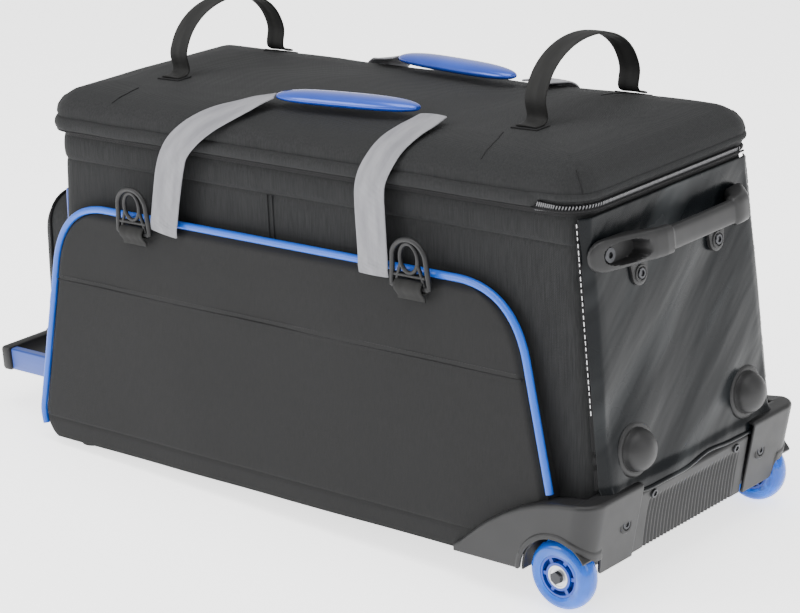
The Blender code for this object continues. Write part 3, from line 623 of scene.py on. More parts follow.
def lid_surface(x, y):
    """Height of the lid's top over a point."""
    out = -min(RIM_HALF_LENGTH - abs(x), RIM_HALF_WIDTH - abs(y))
    return follow(out, [(o, h) for _, o, h in dome if o < 0.0056]) + wobble((x, y, 0.3), 0.12, 0.0022)


def spread(share):
    """Grid lines gathered towards the lid's edge, where it curves."""
    side = 2 * share - 1
    return math.copysign(abs(side) ** 0.8, side)


lid = finished("lid_cloth", sheet(150, 84, lambda u, v: lid_place(spread(u), spread(v))), TUB_CLOTH,
               "lid", ["lid_panel"])
subdivided(lid)
print("lid faces:", len(lid.data.polygons), "top", round(LID_TOP, 4))

# %% The lid's lining
inner = sheet(60, 34, lambda u, v: lid_place(spread(u), spread(v), 0.0100, 0.0095))
for vertex in inner.verts:
    if vertex.co.z < RIM_Z + 0.002:
        vertex.co.z = RIM_Z + 0.0006
lid_lining = finished("lid_lining", inner, LINING_CLOTH, "lid", ())
thickened(lid_lining, 0.001, -1.0)
print("lid lining faces:", len(lid_lining.data.polygons))

# %% [markdown]
# ## Darts and seams of the lid
# Flat cloth only becomes a dome where it is cut and sewn. Four darts run down the corners, and a short
# curved seam leaves the foot of each tie strap. They are fine cords, sunk so that only a line shows.

# %% Darts and curved seams
seams = bmesh.new()
for side in (-1, 1):
    for end in (-1, 1):
        dart = [lid_place(end * 0.985 * mix(0.83, 1.0, t), side * mix(0.80, 0.90, t) * 1.02) for t in
                [step / 8 for step in range(9)]]
        tube_into(seams, [point + Vector((0, 0, 0.0001)) for point in dart], 0.0007, 6)
    for x0, y0, x1 in ((-0.252, 0.092, -0.257), (0.216, 0.074, 0.232)):
        arc = []
        for step in range(15):
            t = step / 14
            x = mix(x0, x1, t) + 0.003 * math.sin(math.pi * t)
            y = mix(y0, 0.126, t)
            arc.append(Vector((x, side * y, lid_surface(x, side * y) + 0.0001)))
        tube_into(seams, arc, 0.0006, 6)
finished("lid_seams", seams, BINDING, "lid", ())
print("lid seams:", 8)

# %% [markdown]
# ## The rolled edge and the zip
# A roll of cloth covers the zip along the front, the pull-handle end and the rear. At the wheel end it
# thins to a cord and the zip shows. The roll is a skin whose section changes as it goes round. Under it
# runs the zip's coil, a plain tube, and at the open end the teeth are small slanted blocks. A fine
# piping cord follows the roll's foot, but not along the hinge.

# %% The rolled edge
def rim_line(out, z, steps=(72, 26, 7)):
    return [Vector((point.x, point.y, z)) + normal * out for point, normal in
            round_the_bag(-RIM_HALF_LENGTH, RIM_HALF_LENGTH, RIM_HALF_WIDTH, RIM_CORNER, *steps)]


OPEN_ZIP_X = 0.300
HINGE_SIDE_Y = 0.112
FINE_STEPS = (150, 56, 10)


def roll_section(point, out):
    """The roll's cross-section: full under the flap, a thin cord over the open zip."""
    bare = ease((point.x - OPEN_ZIP_X + 0.004) / 0.010)
    wide, tall = mix(0.0062, 0.0030, bare), mix(0.0078, 0.0034, bare)
    middle = point + out * mix(0.0052, 0.0062, bare) + Vector((0, 0, mix(0.0072, 0.0128, bare)))
    middle.z += wobble(point, 0.05, 0.0007) * (1 - bare)
    return [middle + out * wide * math.cos(a) + Vector((0, 0, tall * math.sin(a)))
            for a in [2 * math.pi * k / 14 for k in range(14)]]


around = round_the_bag(-RIM_HALF_LENGTH, RIM_HALF_LENGTH, RIM_HALF_WIDTH, RIM_CORNER, *FINE_STEPS)
roll_sections = [roll_section(Vector((p.x, p.y, RIM_Z)), n) for p, n in around]
roll = finished("lid_rolled_edge", skin(roll_sections, closed=True), TUB_CLOTH, "lid", ["lid_rim"])
cord_line = [point for point in rim_line(0.0086, RIM_Z + 0.0006, FINE_STEPS) if point.y < HINGE_SIDE_Y]
gap_at = max(range(1, len(cord_line)), key=lambda k: (cord_line[k] - cord_line[k - 1]).length)
cord_line = cord_line[gap_at:] + cord_line[:gap_at]
finished("lid_piping_cord", tube(cord_line, 0.0011, 8), BINDING, "lid", ())
print("rolled edge faces:", len(roll.data.polygons))

# %% The zip's tape, coil and teeth
tape_rings = [rim_line(out, z) for out, z in ((0.0014, RIM_Z - 0.0060), (0.0026, RIM_Z - 0.0036),
                                              (0.0030, RIM_Z - 0.0006), (-0.006, RIM_Z - 0.0006),
                                              (-0.006, RIM_Z - 0.0042))]
zip_tape = finished("zip_tape", skin(tape_rings, capped=False), BINDING, "bag", ["zip_band"])
finished("zip_coil", tube(rim_line(0.0036, RIM_Z + 0.0016), 0.0022, 8, True), BINDING, "lid", ())
zip_teeth = bmesh.new()
TOOTH_LEAN = Matrix.Rotation(math.radians(24), 4, "Y")
TOOTH_LONG, TOOTH_THICK = 0.0012, 0.0028
TALLEST, LOWEST, SHRINK_OVER = 0.0090, 0.0056, 0.03
chain_line = [point for point in rim_line(0.0058, RIM_Z + 0.0024, (276, 104, 16))
              if point.x > OPEN_ZIP_X and point.y < 0.110]
for here, there in zip(chain_line, chain_line[1:]):
    if (there - here).length < 0.01:
        facing = (there - here).to_track_quat("X", "Z").to_matrix().to_4x4()
        tall = mix(TALLEST, LOWEST, min((here.x - OPEN_ZIP_X) / SHRINK_OVER, 1.0))
        size = Matrix.Diagonal((TOOTH_LONG, TOOTH_THICK, tall, 1.0))
        tooth = Matrix.Translation(here) @ facing @ TOOTH_LEAN @ size
        bmesh.ops.create_cube(zip_teeth, size=1.0, matrix=tooth)
zip_chain = finished("zip_chain", zip_teeth, ZIP_METAL, "lid", ())
print("zip chain faces:", len(zip_chain.data.polygons))

# %% [markdown]
# ## The side pockets
# Each pocket is a flat panel of smooth cloth over most of a long side. A sheet is laid between its two
# sloping edges, and the rows narrow as its top corners round off. Its rim drops to the tub, its flap
# overlaps the lower part in a soft step, and a groove marks off the binding along the foot.

# %% Edges of a pocket
FLAP_Z = 0.2122
BINDING_Z = 0.0560
HOUSING_TOP_Z = 0.1015
housing_edge = [(0.0345, 0.211), (0.0400, 0.212), (0.0560, 0.232), (0.0716, 0.2555), (0.0810, 0.274),
                (0.0946, 0.2925), (HOUSING_TOP_Z, 0.309)]


def rounded_edge(foot_x, top_x, corner):
    """Knots of (z, x) up a pocket's side and round into its top edge."""
    foot, top = Vector((foot_x, TRAY_Z)), Vector((top_x, POCKET_TOP))
    inwards = math.copysign(1.0, -top_x)
    start = top + (foot - top).normalized() * corner
    end = top + Vector((inwards * corner, 0))
    curve = [(1 - t) ** 2 * start + 2 * t * (1 - t) * top + t * t * end
             for t in [k / 16 for k in range(17)]]
    return [(foot.y, foot.x)] + [(point.y, point.x) for point in curve]


left_edge = rounded_edge(-0.384, -0.331, 0.065)
right_edge = rounded_edge(0.325, 0.271, 0.065)


def pocket_left(z):
    return follow(z, left_edge) + rounded_under(z)


def pocket_right(z):
    if z < HOUSING_TOP_Z:
        return min(follow(z, right_edge), follow(z, housing_edge))
    return follow(z, right_edge)


def gathered(share):
    """Grid lines gathered at both ends of a run."""
    return 0.5 - 0.5 * math.cos(math.pi * share)


print("pocket at the flap:", round(pocket_left(FLAP_Z), 4), round(pocket_right(FLAP_Z), 4))

# %% The pocket panels
def pocket_place(side, u, v):
    z = mix(TRAY_Z + 0.0006, POCKET_TOP, math.sin(v * math.pi / 2))
    x = mix(pocket_left(z), pocket_right(z), gathered(u))
    right_rim = pocket_right(z) - x if z > HOUSING_TOP_Z else 0.05
    rim = min(x - pocket_left(z), right_rim, POCKET_TOP - z)
    out = pocket_y(z) - 0.0042 * (1 - ease(rim / 0.0095)) ** 2
    out += 0.0011 * ease((z - FLAP_Z) / 0.0012) * ease((0.29 - z) / 0.05)
    out -= 0.0010 * math.exp(-((z - FLAP_Z + 0.0006) / 0.0013) ** 2)
    out -= 0.0008 * math.exp(-((z - BINDING_Z) / 0.0016) ** 2)
    out += wobble((x, side, z), 0.11, 0.0010) * ease(rim / 0.02)
    return Vector((x, side * out, z))


def flap_row(share):
    """Rows gathered at the flap's edge and at the foot's binding."""
    marks = [(0.0, 0.0), (0.07, 0.052), (0.17, 0.060), (0.50, 0.533), (0.56, 0.5395), (0.74, 0.5545),
             (0.78, 0.562), (1.0, 1.0)]
    return follow(share, marks)


for side, side_name in ((-1, "front"), (1, "rear")):
    panel = sheet(96, 110, lambda u, v: pocket_place(side, u, flap_row(v)), (0.68, 0.255))
    rim_edges = [edge for edge in panel.edges if edge.is_boundary]
    walls = bmesh.ops.extrude_edge_only(panel, edges=rim_edges)["geom"]
    for item in walls:
        if isinstance(item, bmesh.types.BMVert):
            item.co.y = side * (side_y(item.co.z) - 0.0008)
    pocket = finished(f"{side_name}_pocket_panel", panel, POCKET_CLOTH, "bag", [f"{side_name}_pocket"])
print("pocket faces:", len(pocket.data.polygons))

# %% [markdown]
# ### Stitching on the pocket
# A row of dark stitches holds the flap, and under it a dark tube is a painted line of shade. Real
# stitches are short threads with gaps, which catch the light as a dotted line. They could be painted
# into the finish, but small tubes keep their shape close up. Their lengths differ a little, as sewn ones
# do, and a fixed seed makes them the same on every run.

# %% Rows of stitches
FLAP_STITCHES = 170
CORNER_STITCHES = 30
noise.seed_set(7)


def row_of_stitches(place, count, reach=0.62, radius=0.00032):
    """Short threads at even steps along place(0) to place(1)."""
    bm = bmesh.new()
    for index in range(count):
        length = reach * (0.75 + 0.5 * noise.random())
        start, stop = place(index / count), place((index + length) / count)
        middle = (start + stop) / 2
        tube_into(bm, [start, middle, stop], radius, 5)
    return bm


for side, side_name in ((-1, "front"), (1, "rear")):
    def flap_stitch(t, z=FLAP_Z + 0.0042):
        x = mix(pocket_left(z) + 0.006, pocket_right(z) - 0.006, t)
        return Vector((x, side * (pocket_y(z) + 0.0011), z))

    upper = row_of_stitches(flap_stitch, FLAP_STITCHES)
    finished(f"{side_name}_flap_stitches", upper, THREAD_BLACK, "bag", ())
    # painted shade: a dark tube of binding cloth laid under the flap's edge as its line of shade
    flap_shade_line = [Vector((mix(pocket_left(FLAP_Z) + 0.003, pocket_right(FLAP_Z) - 0.003, t),
                      side * (pocket_y(FLAP_Z) - 0.0002), FLAP_Z - 0.0010)) for t in
              [step / 40 for step in range(41)]]
    finished(f"{side_name}_flap_shadow", tube(flap_shade_line, 0.0011, 8), BINDING, "bag", ())
print("flap stitches per side:", FLAP_STITCHES)

# %% [markdown]
# ## Blue tube piping
# A soft blue tube edges each pocket. It runs up one side, over the top and down to the wheel housing,
# with a sleeve where two lengths meet. The line follows the pocket's edge at a tube's radius outside it.

# %% The piping
PIPE = 0.0038
PIPE_FOOT_Z, PIPE_END_Z, SLEEVE_Z = 0.046, 0.108, 0.1835


def piping_line(side):
    """Up the pull-handle side of the pocket, over its top and down to the wheel housing."""
    line = [(pocket_left(z), z) for z in [mix(PIPE_FOOT_Z, left_edge[1][0], k / 12) for k in range(12)]]
    line += [(x, z) for z, x in left_edge[1:]]
    line += [(mix(left_edge[-1][1], right_edge[-1][1], k / 40), POCKET_TOP) for k in range(1, 40)]
    line += [(x, z) for z, x in reversed(right_edge[1:])]
    line += [(follow(z, right_edge), z) for z in
             [mix(right_edge[1][0], PIPE_END_Z, k / 8) for k in range(1, 9)]]
    centres = []
    for index, (x, z) in enumerate(line):
        ahead, behind = line[min(index + 1, len(line) - 1)], line[max(index - 1, 0)]
        along = Vector((ahead[0] - behind[0], ahead[1] - behind[1])).normalized()
        place = Vector((x, z)) + Vector((-along.y, along.x)) * (PIPE + 0.0002)
        centres.append(Vector((place.x, side * (pocket_y(place.y) - 0.0030), place.y)))
    return centres


for side, side_name in ((-1, "front"), (1, "rear")):
    piping = bmesh.new()
    run = smooth_line(piping_line(side), 3)
    tube_into(piping, run, PIPE, 14, up=Vector((0, 1, 0)))
    sleeve_at = min(range(len(run)), key=lambda k: abs(run[k].z - SLEEVE_Z) + (run[k].x > 0))
    tube_into(piping, run[sleeve_at:sleeve_at + 3], PIPE * 1.08, 14, up=Vector((0, 1, 0)))
    pipe = finished(f"{side_name}_blue_piping", piping, BLUE_TUBE, "bag", [f"{side_name}_piping"])
print("piping faces:", len(pipe.data.polygons))

# %% [markdown]
# ## The coated end
# The sheet over the wheel end is pulled tight at its seams and lies in long slanting folds between
# them. Folds are made of noise that is stretched along one direction, and they die out at the edges.
# At the foot the sheet hangs a little over the housings, with a wavy hem.

# %% The coated sheet
END_LEAN = math.atan2(KNEE_X - RIM_HALF_LENGTH, RIM_Z - KNEE_Z)
PANEL_TOP = 0.3640
PANEL_FOOT = 0.1010
HEM_SHARE = 0.10


def on_end(y, z, out):
    """A point on the sloping wheel end, standing out by out."""
    x = end_x(max(z, KNEE_Z))
    return Vector((x + out * math.cos(END_LEAN), y, z + out * math.sin(END_LEAN)))


def folds(y, z):
    """Depth of the sheet's folds: long, slanting, deepest low down in the middle."""
    along = y * math.cos(FOLD_ANGLE) + z * math.sin(FOLD_ANGLE)
    across = z * math.cos(FOLD_ANGLE) - y * math.sin(FOLD_ANGLE)
    broad = noise.noise(Vector((across / 0.052, along / 0.26, 2.3)))
    middling = noise.noise(Vector((across / 0.024, along / 0.15, 8.1)))
    low_down = ease((PANEL_TOP - z) / 0.20)
    edge = ease((side_y(z) - abs(y)) / 0.02) * ease((PANEL_TOP - z) / 0.02)
    return edge * (0.0026 * broad + 0.0014 * middling * low_down + 0.0022 * broad * low_down)


def sheet_place(u, v):
    z = mix(PANEL_FOOT, PANEL_TOP, v)
    half = side_y(z) - 0.0015
    y = mix(-half, half, gathered(u))
    if v < HEM_SHARE:
        wave = 0.0026 * math.sin(y * 41 + 0.6) + 0.0009 * math.sin(y * 97)
        z += (HEM_SHARE - v) / HEM_SHARE * wave
    turn = 0.0075 * (1 - ease((half - abs(y)) / 0.012)) ** 2
    hem = 0.0035 * ease((0.118 - z) / 0.012)
    return on_end(y, z, 0.0036 + folds(y, z) - turn + hem)


coated = finished("coated_end_sheet", sheet(120, 110, sheet_place, (0.26, 0.26)), COATED, "bag",
                  ["end_panel"])
thickened(coated, 0.0012, -1.0)
subdivided(coated)
hem_line = [sheet_place(0.01 + 0.98 * k / 60, 0.0) + Vector((0.0002, 0, 0)) for k in range(61)]
finished("coated_sheet_hem", tube(hem_line, 0.0021, 10), COATED, "bag", ())
print("coated sheet faces:", len(coated.data.polygons))

# %% [markdown]
# ### The sheet's side seams
# The sheet is sewn to the tub down both corners. A dark welt covers the joint, and a row of white thread
# runs beside it down the upper part. Both follow one line down the corner, so they stay together.

# %% White stitching down the sheet's seams
for side, side_name in ((-1, "front"), (1, "rear")):
    def corner_seam(t):
        z = mix(0.3600, 0.1150, t)
        place = Vector((end_x(z) - 0.0052, side * (side_y(z) - 0.0010), z))
        return place + Vector((0.0006, side * 0.0008, 0)) * (1 + wobble(place, 0.01, 0.6))

    def corner_stitch(t):
        return corner_seam(t * 0.72) + Vector((0.0006, side * 0.0013, 0))

    seam_line = [corner_seam(k / 40) - Vector((0.0004, 0, 0)) for k in range(41)]
    finished(f"{side_name}_corner_welt", tube(seam_line, 0.0017, 8), BINDING, "bag", ())
    stitches = row_of_stitches(corner_stitch, CORNER_STITCHES, radius=0.00042)
    finished(f"{side_name}_corner_stitches", stitches, THREAD_WHITE, "bag", ())
print("corner stitches per side:", CORNER_STITCHES)

# %% [markdown]
# ## Bumpers
# Two rubber hemispheres on round flanges keep the end off the ground when the bag stands on it. A turned
# part is a profile spun about its axis. The flange has a rounded lip and a shallow groove at its foot.

# %% Turned parts
def turned(profile, steps=48):
    """Spin a profile of (radius, height) about Z, so that a turned part is one outline."""
    bm = bmesh.new()
    previous = None
    for radius, height in profile:
        vertex = bm.verts.new((radius, 0, height))
        if previous:
            bm.edges.new((previous, vertex))
        previous = vertex
    bmesh.ops.spin(bm, geom=list(bm.verts) + list(bm.edges), axis=(0, 0, 1), cent=(0, 0, 0),
                   steps=steps, angle=2 * math.pi, use_merge=True)
    bmesh.ops.remove_doubles(bm, verts=bm.verts, dist=0.000005)
    return bm


def placed(bm, matrix):
    bmesh.ops.transform(bm, matrix=matrix, verts=bm.verts)
    return bm


FACING_END = Matrix.Rotation(math.pi / 2 - END_LEAN, 4, "Y")
dome_profile = [(0.0, 0.0), (0.0255, 0.0), (0.0262, 0.0010), (0.0260, 0.0026), (0.0245, 0.0040),
                (0.0222, 0.0045), (0.0208, 0.0042), (0.0203, 0.0050)]
dome_profile += [(0.0203 * math.cos(a), 0.0052 + 0.0166 * math.sin(a)) for a in
                 [math.radians(6 * k) for k in range(2, 15)]]
dome_profile.append((0.0, 0.0218))
for side, side_name in ((-1, "front"), (1, "rear")):
    seat = Matrix.Translation(on_end(side * 0.088, 0.140, 0.0028)) @ FACING_END
    bumper = finished(f"bumper_{side_name}_dome", placed(turned(dome_profile), seat), RUBBER, "bag",
                      [f"bumper_{side_name}"], sharp=60)
print("bumper faces:", len(bumper.data.polygons))

# %% [markdown]
# ## The grab handle on the end
# It is one moulding: two blocks that slope up from the sheet and a bar between them to hold. The near
# block slopes gently and has a scooped oval recess with a bolt in it; the far one is steep and plain.
# The shape is a skin of rounded sections along the bar, with the recess pressed in where the sections
# pass it. Two ears below it are bolted to the bag.

# %% The handle's sections
HANDLE_MID_Z = 0.3280
RECESS_Y, RECESS_HALF_LONG, RECESS_HALF_TALL = -0.0940, 0.0225, 0.0100
handle_run = [  # along Y, inner and outer distance from the end, half height
    (-0.1285, 0.0030, 0.0060, 0.0040), (-0.1275, 0.0030, 0.0074, 0.0072),
    (-0.1250, 0.0030, 0.0094, 0.0104), (-0.1205, 0.0030, 0.0116, 0.0132), (-0.1150, 0.0030, 0.0140, 0.0146),
    (-0.100, 0.0030, 0.0204, 0.0148), (-0.085, 0.0030, 0.0266, 0.0146), (-0.075, 0.0060, 0.0302, 0.0142),
    (-0.066, 0.0160, 0.0336, 0.0138), (-0.054, 0.0222, 0.0364, 0.0134), (-0.0450, 0.0234, 0.0368, 0.0132),
    (-0.0435, 0.0246, 0.0358, 0.0112), (-0.041, 0.0248, 0.0356, 0.0109), (0.005, 0.0252, 0.0362, 0.0108),
    (0.0505, 0.0248, 0.0356, 0.0109), (0.0530, 0.0246, 0.0358, 0.0112), (0.0545, 0.0234, 0.0368, 0.0132),
    (0.064, 0.0200, 0.0370, 0.0136), (0.074, 0.0090, 0.0362, 0.0142), (0.0815, 0.0030, 0.0312, 0.0146),
    (0.0910, 0.0030, 0.0216, 0.0146), (0.1000, 0.0030, 0.0122, 0.0138), (0.1035, 0.0030, 0.0086, 0.0120),
    (0.1050, 0.0030, 0.0060, 0.0085),
]


def handle_section(y, sides=64):
    inner, outer, half = [follow(y, [(row[0], row[k]) for row in handle_run]) for k in (1, 2, 3)]
    section = []
    for k in range(sides):
        angle = 2 * math.pi * k / sides
        across, over = math.cos(angle), math.sin(angle)
        z = half * math.copysign(abs(across) ** 0.55, across)
        out = (inner + outer) / 2 + (outer - inner) / 2 * math.copysign(abs(over) ** 0.55, over)
        oval = (abs(y - RECESS_Y) / RECESS_HALF_LONG) ** 2.4 + (abs(z) / RECESS_HALF_TALL) ** 2.4
        if over > 0:
            out = mix(out, min(out, 0.0080 + 0.10 * (y + 0.118)), ease((1.10 - oval) / 0.26))
        section.append(on_end(y, HANDLE_MID_Z + z, out))
    return section


stations = sorted([row[0] for row in handle_run] + [-0.1270 + 0.0010 * k for k in range(82)])
handle = finished("end_grab_handle", skin([handle_section(y) for y in stations]), PLASTIC, "bag",
                  ["end_handle"], sharp=50)
print("grab handle faces:", len(handle.data.polygons))

# %% Its ears, bolts and recess bolt
EAR_Y, EAR_Z, EAR_HALF = 0.060, 0.2980, 0.0112


def ear_into(bm, y):
    """A rounded tab below the handle: a flat pin head stretched upwards."""
    outline = [(0.0150, HANDLE_MID_Z - 0.006), (-0.0150, HANDLE_MID_Z - 0.006)]
    outline += [(-EAR_HALF * math.cos(a), EAR_Z - EAR_HALF * math.sin(a)) for a in
                [math.pi * k / 12 for k in range(13)]]
    layers = []
    for out, grow in ((0.0030, 1.0), (0.0064, 1.0), (0.0074, 0.90)):
        layers.append([on_end(y + dy * grow, mix(EAR_Z + 0.01, z, grow), out) for dy, z in outline])
    skin_into(bm, layers)


def bolt_head(radius, tall, recess=0.55):
    """A low screw head with a socket in it."""
    rim = radius * 0.92
    return turned([(0.0, tall * 0.35), (radius * recess, tall * 0.35), (radius * recess, tall), (rim, tall),
                   (radius, tall * 0.7), (radius, -tall * 0.5), (0.0, -tall * 0.5)], 24)


ears = bmesh.new()
for y in (-EAR_Y, EAR_Y):
    ear_into(ears, y)
finished("end_handle_ears", ears, PLASTIC, "bag", (), sharp=30)
for side, side_name in ((-1, "front"), (1, "rear")):
    boss = turned([(0.0, -0.001), (0.0085, -0.001), (0.0085, 0.0006), (0.0078, 0.0012), (0.0066, 0.0012),
                   (0.0062, 0.0002), (0.0, 0.0002)], 28)
    spot = Matrix.Translation(on_end(side * EAR_Y, EAR_Z, 0.0074)) @ FACING_END
    finished(f"end_handle_boss_{side_name}", placed(boss, spot), PLASTIC, "bag", ())
    finished(f"end_handle_bolt_{side_name}", placed(bolt_head(0.0052, 0.0020), spot), DARK_STEEL, "bag",
             [f"end_handle_screw_{side_name}"])
recess_spot = Matrix.Translation(on_end(-0.1085, HANDLE_MID_Z, 0.0105)) @ FACING_END
finished("end_handle_recess_bolt", placed(bolt_head(0.0074, 0.0030, 0.4), recess_spot), DARK_STEEL,
         "bag", ())
print("ears at y", -EAR_Y, EAR_Y)

# %% [markdown]
# ## The ribbed skid plate
# Between the wheel housings a hard plate takes the scrapes. It has a plain upper band with two screws,
# and close ribs that bow slightly. A sheet gives the ribs: a wave across it, turned on below the band.

# %% The skid plate
skid_low, skid_high = bag_box("skid_plate")
RIB_COUNT = 27
RIBS_HALF_WIDTH = 0.074


def skid_place(u, v):
    y = mix(skid_low.y, skid_high.y, u)
    z = mix(skid_low.z, skid_high.z, v)
    lean_out = mix(0.3515, 0.3658, v)
    ribbed = ease((RIBS_HALF_WIDTH - abs(y)) / 0.004) * ease((0.80 - v) / 0.06)
    bow = 0.0040 * math.sin(v * 2.6) - 0.004 * v
    wave = math.cos(2 * math.pi * (y + bow) / (2 * RIBS_HALF_WIDTH / RIB_COUNT))
    groove = 0.0017 * (0.5 - 0.5 * wave) ** 1.5
    top_edge = 0.004 * ease((v - 0.93) / 0.07)
    side_edge = 0.003 * ease((abs(y) - 0.086) / 0.003)
    return Vector((lean_out - groove * ribbed - top_edge - side_edge, y, z))


plate = sheet(324, 30, skid_place, (0.178, 0.064))
plate_rim = [edge for edge in plate.edges if edge.is_boundary]
for item in bmesh.ops.extrude_edge_only(plate, edges=plate_rim)["geom"]:
    if isinstance(item, bmesh.types.BMVert):
        item.co.x -= 0.0085
skid = finished("ribbed_skid_plate", plate, PLASTIC, "bag", ["skid_plate"], sharp=55)
for y in (-0.066, 0.066):
    spot = Matrix.Translation((0.3640, y, 0.0905)) @ Matrix.Rotation(math.pi / 2 + 0.2, 4, "Y")
    finished(f"skid_screw_{'front' if y < 0 else 'rear'}", placed(bolt_head(0.0045, 0.0018), spot),
             DARK_STEEL, "bag", ())
print("skid plate faces:", len(skid.data.polygons))

# %% [markdown]
# ## Wheel housings
# A housing is one smooth shell: a wing along the side whose top sweeps up in an S, a round corner, and
# a short wrap on the wheel end. The shell follows a line in plan. Its lower edge lifts over the wheel
# with a raised lip, and a round well behind it takes the wheel.

# %% The shell of a housing
WELL_X, WELL_Z, WELL_RADIUS = 0.325, 0.034, 0.0385
WING_FOOT_X, WRAP_END_Y, SHELL_Y, SHELL_CORNER = 0.205, 0.0895, 0.1680, 0.022
WRAP_TOP = 0.1085
UPRIGHT_SHARE = 0.82
wing_top = [(0.205, 0.0400), (0.215, 0.0460), (0.225, 0.0545), (0.238, 0.0650), (0.2495, 0.0735),
            (0.268, 0.0850), (0.2865, 0.0945), (0.305, 0.1015), (0.325, 0.1060), (0.345, WRAP_TOP)]


def shell_end_x(z):
    return mix(0.353, 0.3713, (z - TRAY_Z) / (WRAP_TOP - TRAY_Z))


def shell_plan(share, z):
    """A point on the housing's plan, with the direction outwards, at a share of its length."""
    wing = shell_end_x(z) - SHELL_CORNER - WING_FOOT_X
    arc = SHELL_CORNER * math.pi / 2
    wrap = SHELL_Y - SHELL_CORNER - WRAP_END_Y
    run = share * (wing + arc + wrap)
    if run < wing:
        return Vector((WING_FOOT_X + run, SHELL_Y)), Vector((0, 1))
    if run < wing + arc:
        angle = (run - wing) / SHELL_CORNER
        outward = Vector((math.sin(angle), math.cos(angle)))
        return Vector((WING_FOOT_X + wing, SHELL_Y - SHELL_CORNER)) + outward * SHELL_CORNER, outward
    return Vector((shell_end_x(z), SHELL_Y - SHELL_CORNER - (run - wing - arc))), Vector((1, 0))


def shell_place(side, u, v):
    flat, _ = shell_plan(u, 0.06)
    top = follow(flat.x, wing_top)
    over = max(WELL_RADIUS ** 2 - (flat.x - WELL_X) ** 2, 0.0) ** 0.5
    well = over * ease((flat.y - 0.1385) / 0.004)
    foot = max(TRAY_Z, WELL_Z + well)
    up = min(v / UPRIGHT_SHARE, 1.0)
    turn = max(v - UPRIGHT_SHARE, 0.0) / (1 - UPRIGHT_SHARE)
    z = mix(foot, top - 0.003, up)
    inset = 0.0
    if turn > 0:
        angle = min(turn / 0.6, 1.0) * math.pi / 2
        z += 0.003 * math.sin(angle)
        inset = 0.003 * (1 - math.cos(angle)) + 0.016 * max(turn - 0.6, 0.0) / 0.4
    place, outward = shell_plan(u, z)
    from_well = math.hypot(flat.x - WELL_X, z - WELL_Z)
    lip = 0.0013 * ease((WELL_RADIUS + 0.0052 - from_well) / 0.0016) * ease((flat.y - 0.139) / 0.004)
    place += outward * (lip - 0.0012 - inset)
    return Vector((place.x, side * place.y, z))


def well_place(side, u, v):
    """The round well: a wall going in, then its flat back."""
    angle = math.radians(mix(31, 180, u))
    reach = WELL_RADIUS * (1 - ease((v - 0.5) / 0.5))
    depth = mix(SHELL_Y - 0.0012, 0.1345, min(v / 0.5, 1.0))
    x, z = WELL_X + reach * math.cos(angle), WELL_Z + reach * math.sin(angle)
    return Vector((min(x, shell_end_x(z) - 0.001), side * depth, z))


for side, side_name in ((-1, "front"), (1, "rear")):
    outer = sheet(200, 60, lambda u, v: shell_place(side, u, v))
    shell = finished(f"wheel_housing_{side_name}_shell", outer, PLASTIC, "bag",
                     [f"wheel_housing_{side_name}"], sharp=45, turn_out=False)
    thickened(shell, 0.0028, 0.0)
    hollow = sheet(60, 24, lambda u, v: well_place(side, u, v))
    well = finished(f"wheel_well_{side_name}", hollow, PLASTIC, "bag", (), sharp=45,
                    turn_out=False)
    thickened(well, 0.0016, 0.0)
    seat = turned([(0.0, 0.0), (0.0052, 0.0), (0.0062, 0.0012), (0.0080, 0.0012), (0.0092, 0.0),
                   (0.0092, -0.002), (0.0, -0.002)], 28)
    spot = Matrix.Translation((shell_end_x(0.0745) - 0.0006, side * 0.108, 0.0745)) @ FACING_END
    finished(f"housing_screw_seat_{side_name}", placed(seat, spot), PLASTIC, "bag", ())
    finished(f"housing_bolt_{side_name}", placed(bolt_head(0.0050, 0.0016), spot), DARK_STEEL, "bag",
             [f"housing_screw_{side_name}"])
print("housing faces:", len(shell.data.polygons))

# %% [markdown]
# ## Skate wheels
# Each wheel is a clear urethane tyre over a moulded core with windows, a shielded bearing and an axle
# bolt. The tyre and the rings are turned. The core's spokes are small blocks set round the hub.

# %% Wheels
tyre_profile = [(0.0206, 0.0098), (0.0228, 0.0108), (0.0256, 0.0117), (0.0284, 0.0112), (0.0308, 0.0094),
                (0.0326, 0.0067), (0.0336, 0.0034), (0.0339, 0.0)]
tyre_profile += [(radius, -height) for radius, height in reversed(tyre_profile[:-1])]
tyre_profile.append(tyre_profile[0])


def plain_ring(inner, outer, half):
    return turned([(inner, half), (outer, half), (outer, -half), (inner, -half), (inner, half)], 48)


def blocks_into(bm, count, radius, size):
    """Small blocks set evenly round the axle."""
    for block in range(count):
        turn = Matrix.Rotation(math.radians(360 / count * block), 4, "Z")
        place = turn @ Matrix.Translation((radius, 0, 0)) @ Matrix.Diagonal((*size, 1.0))
        bmesh.ops.create_cube(bm, size=1.0, matrix=place)


def wheel_core():
    """A rim, a hub and the web between them, with six spokes."""
    bm = plain_ring(0.0182, 0.0204, 0.0094)
    for other in (plain_ring(0.0112, 0.0136, 0.0098), plain_ring(0.0134, 0.0184, 0.0022)):
        ring = bpy.data.meshes.new("ring")
        other.to_mesh(ring)
        other.free()
        bm.from_mesh(ring)
        bpy.data.meshes.remove(ring)
    blocks_into(bm, 6, 0.0159, (0.0054, 0.0036, 0.0168))
    return bm


def core_ribs():
    """Twelve short ribs of the core that show through the clear tyre."""
    bm = bmesh.new()
    blocks_into(bm, 12, 0.0232, (0.0034, 0.0046, 0.0090))
    return bm


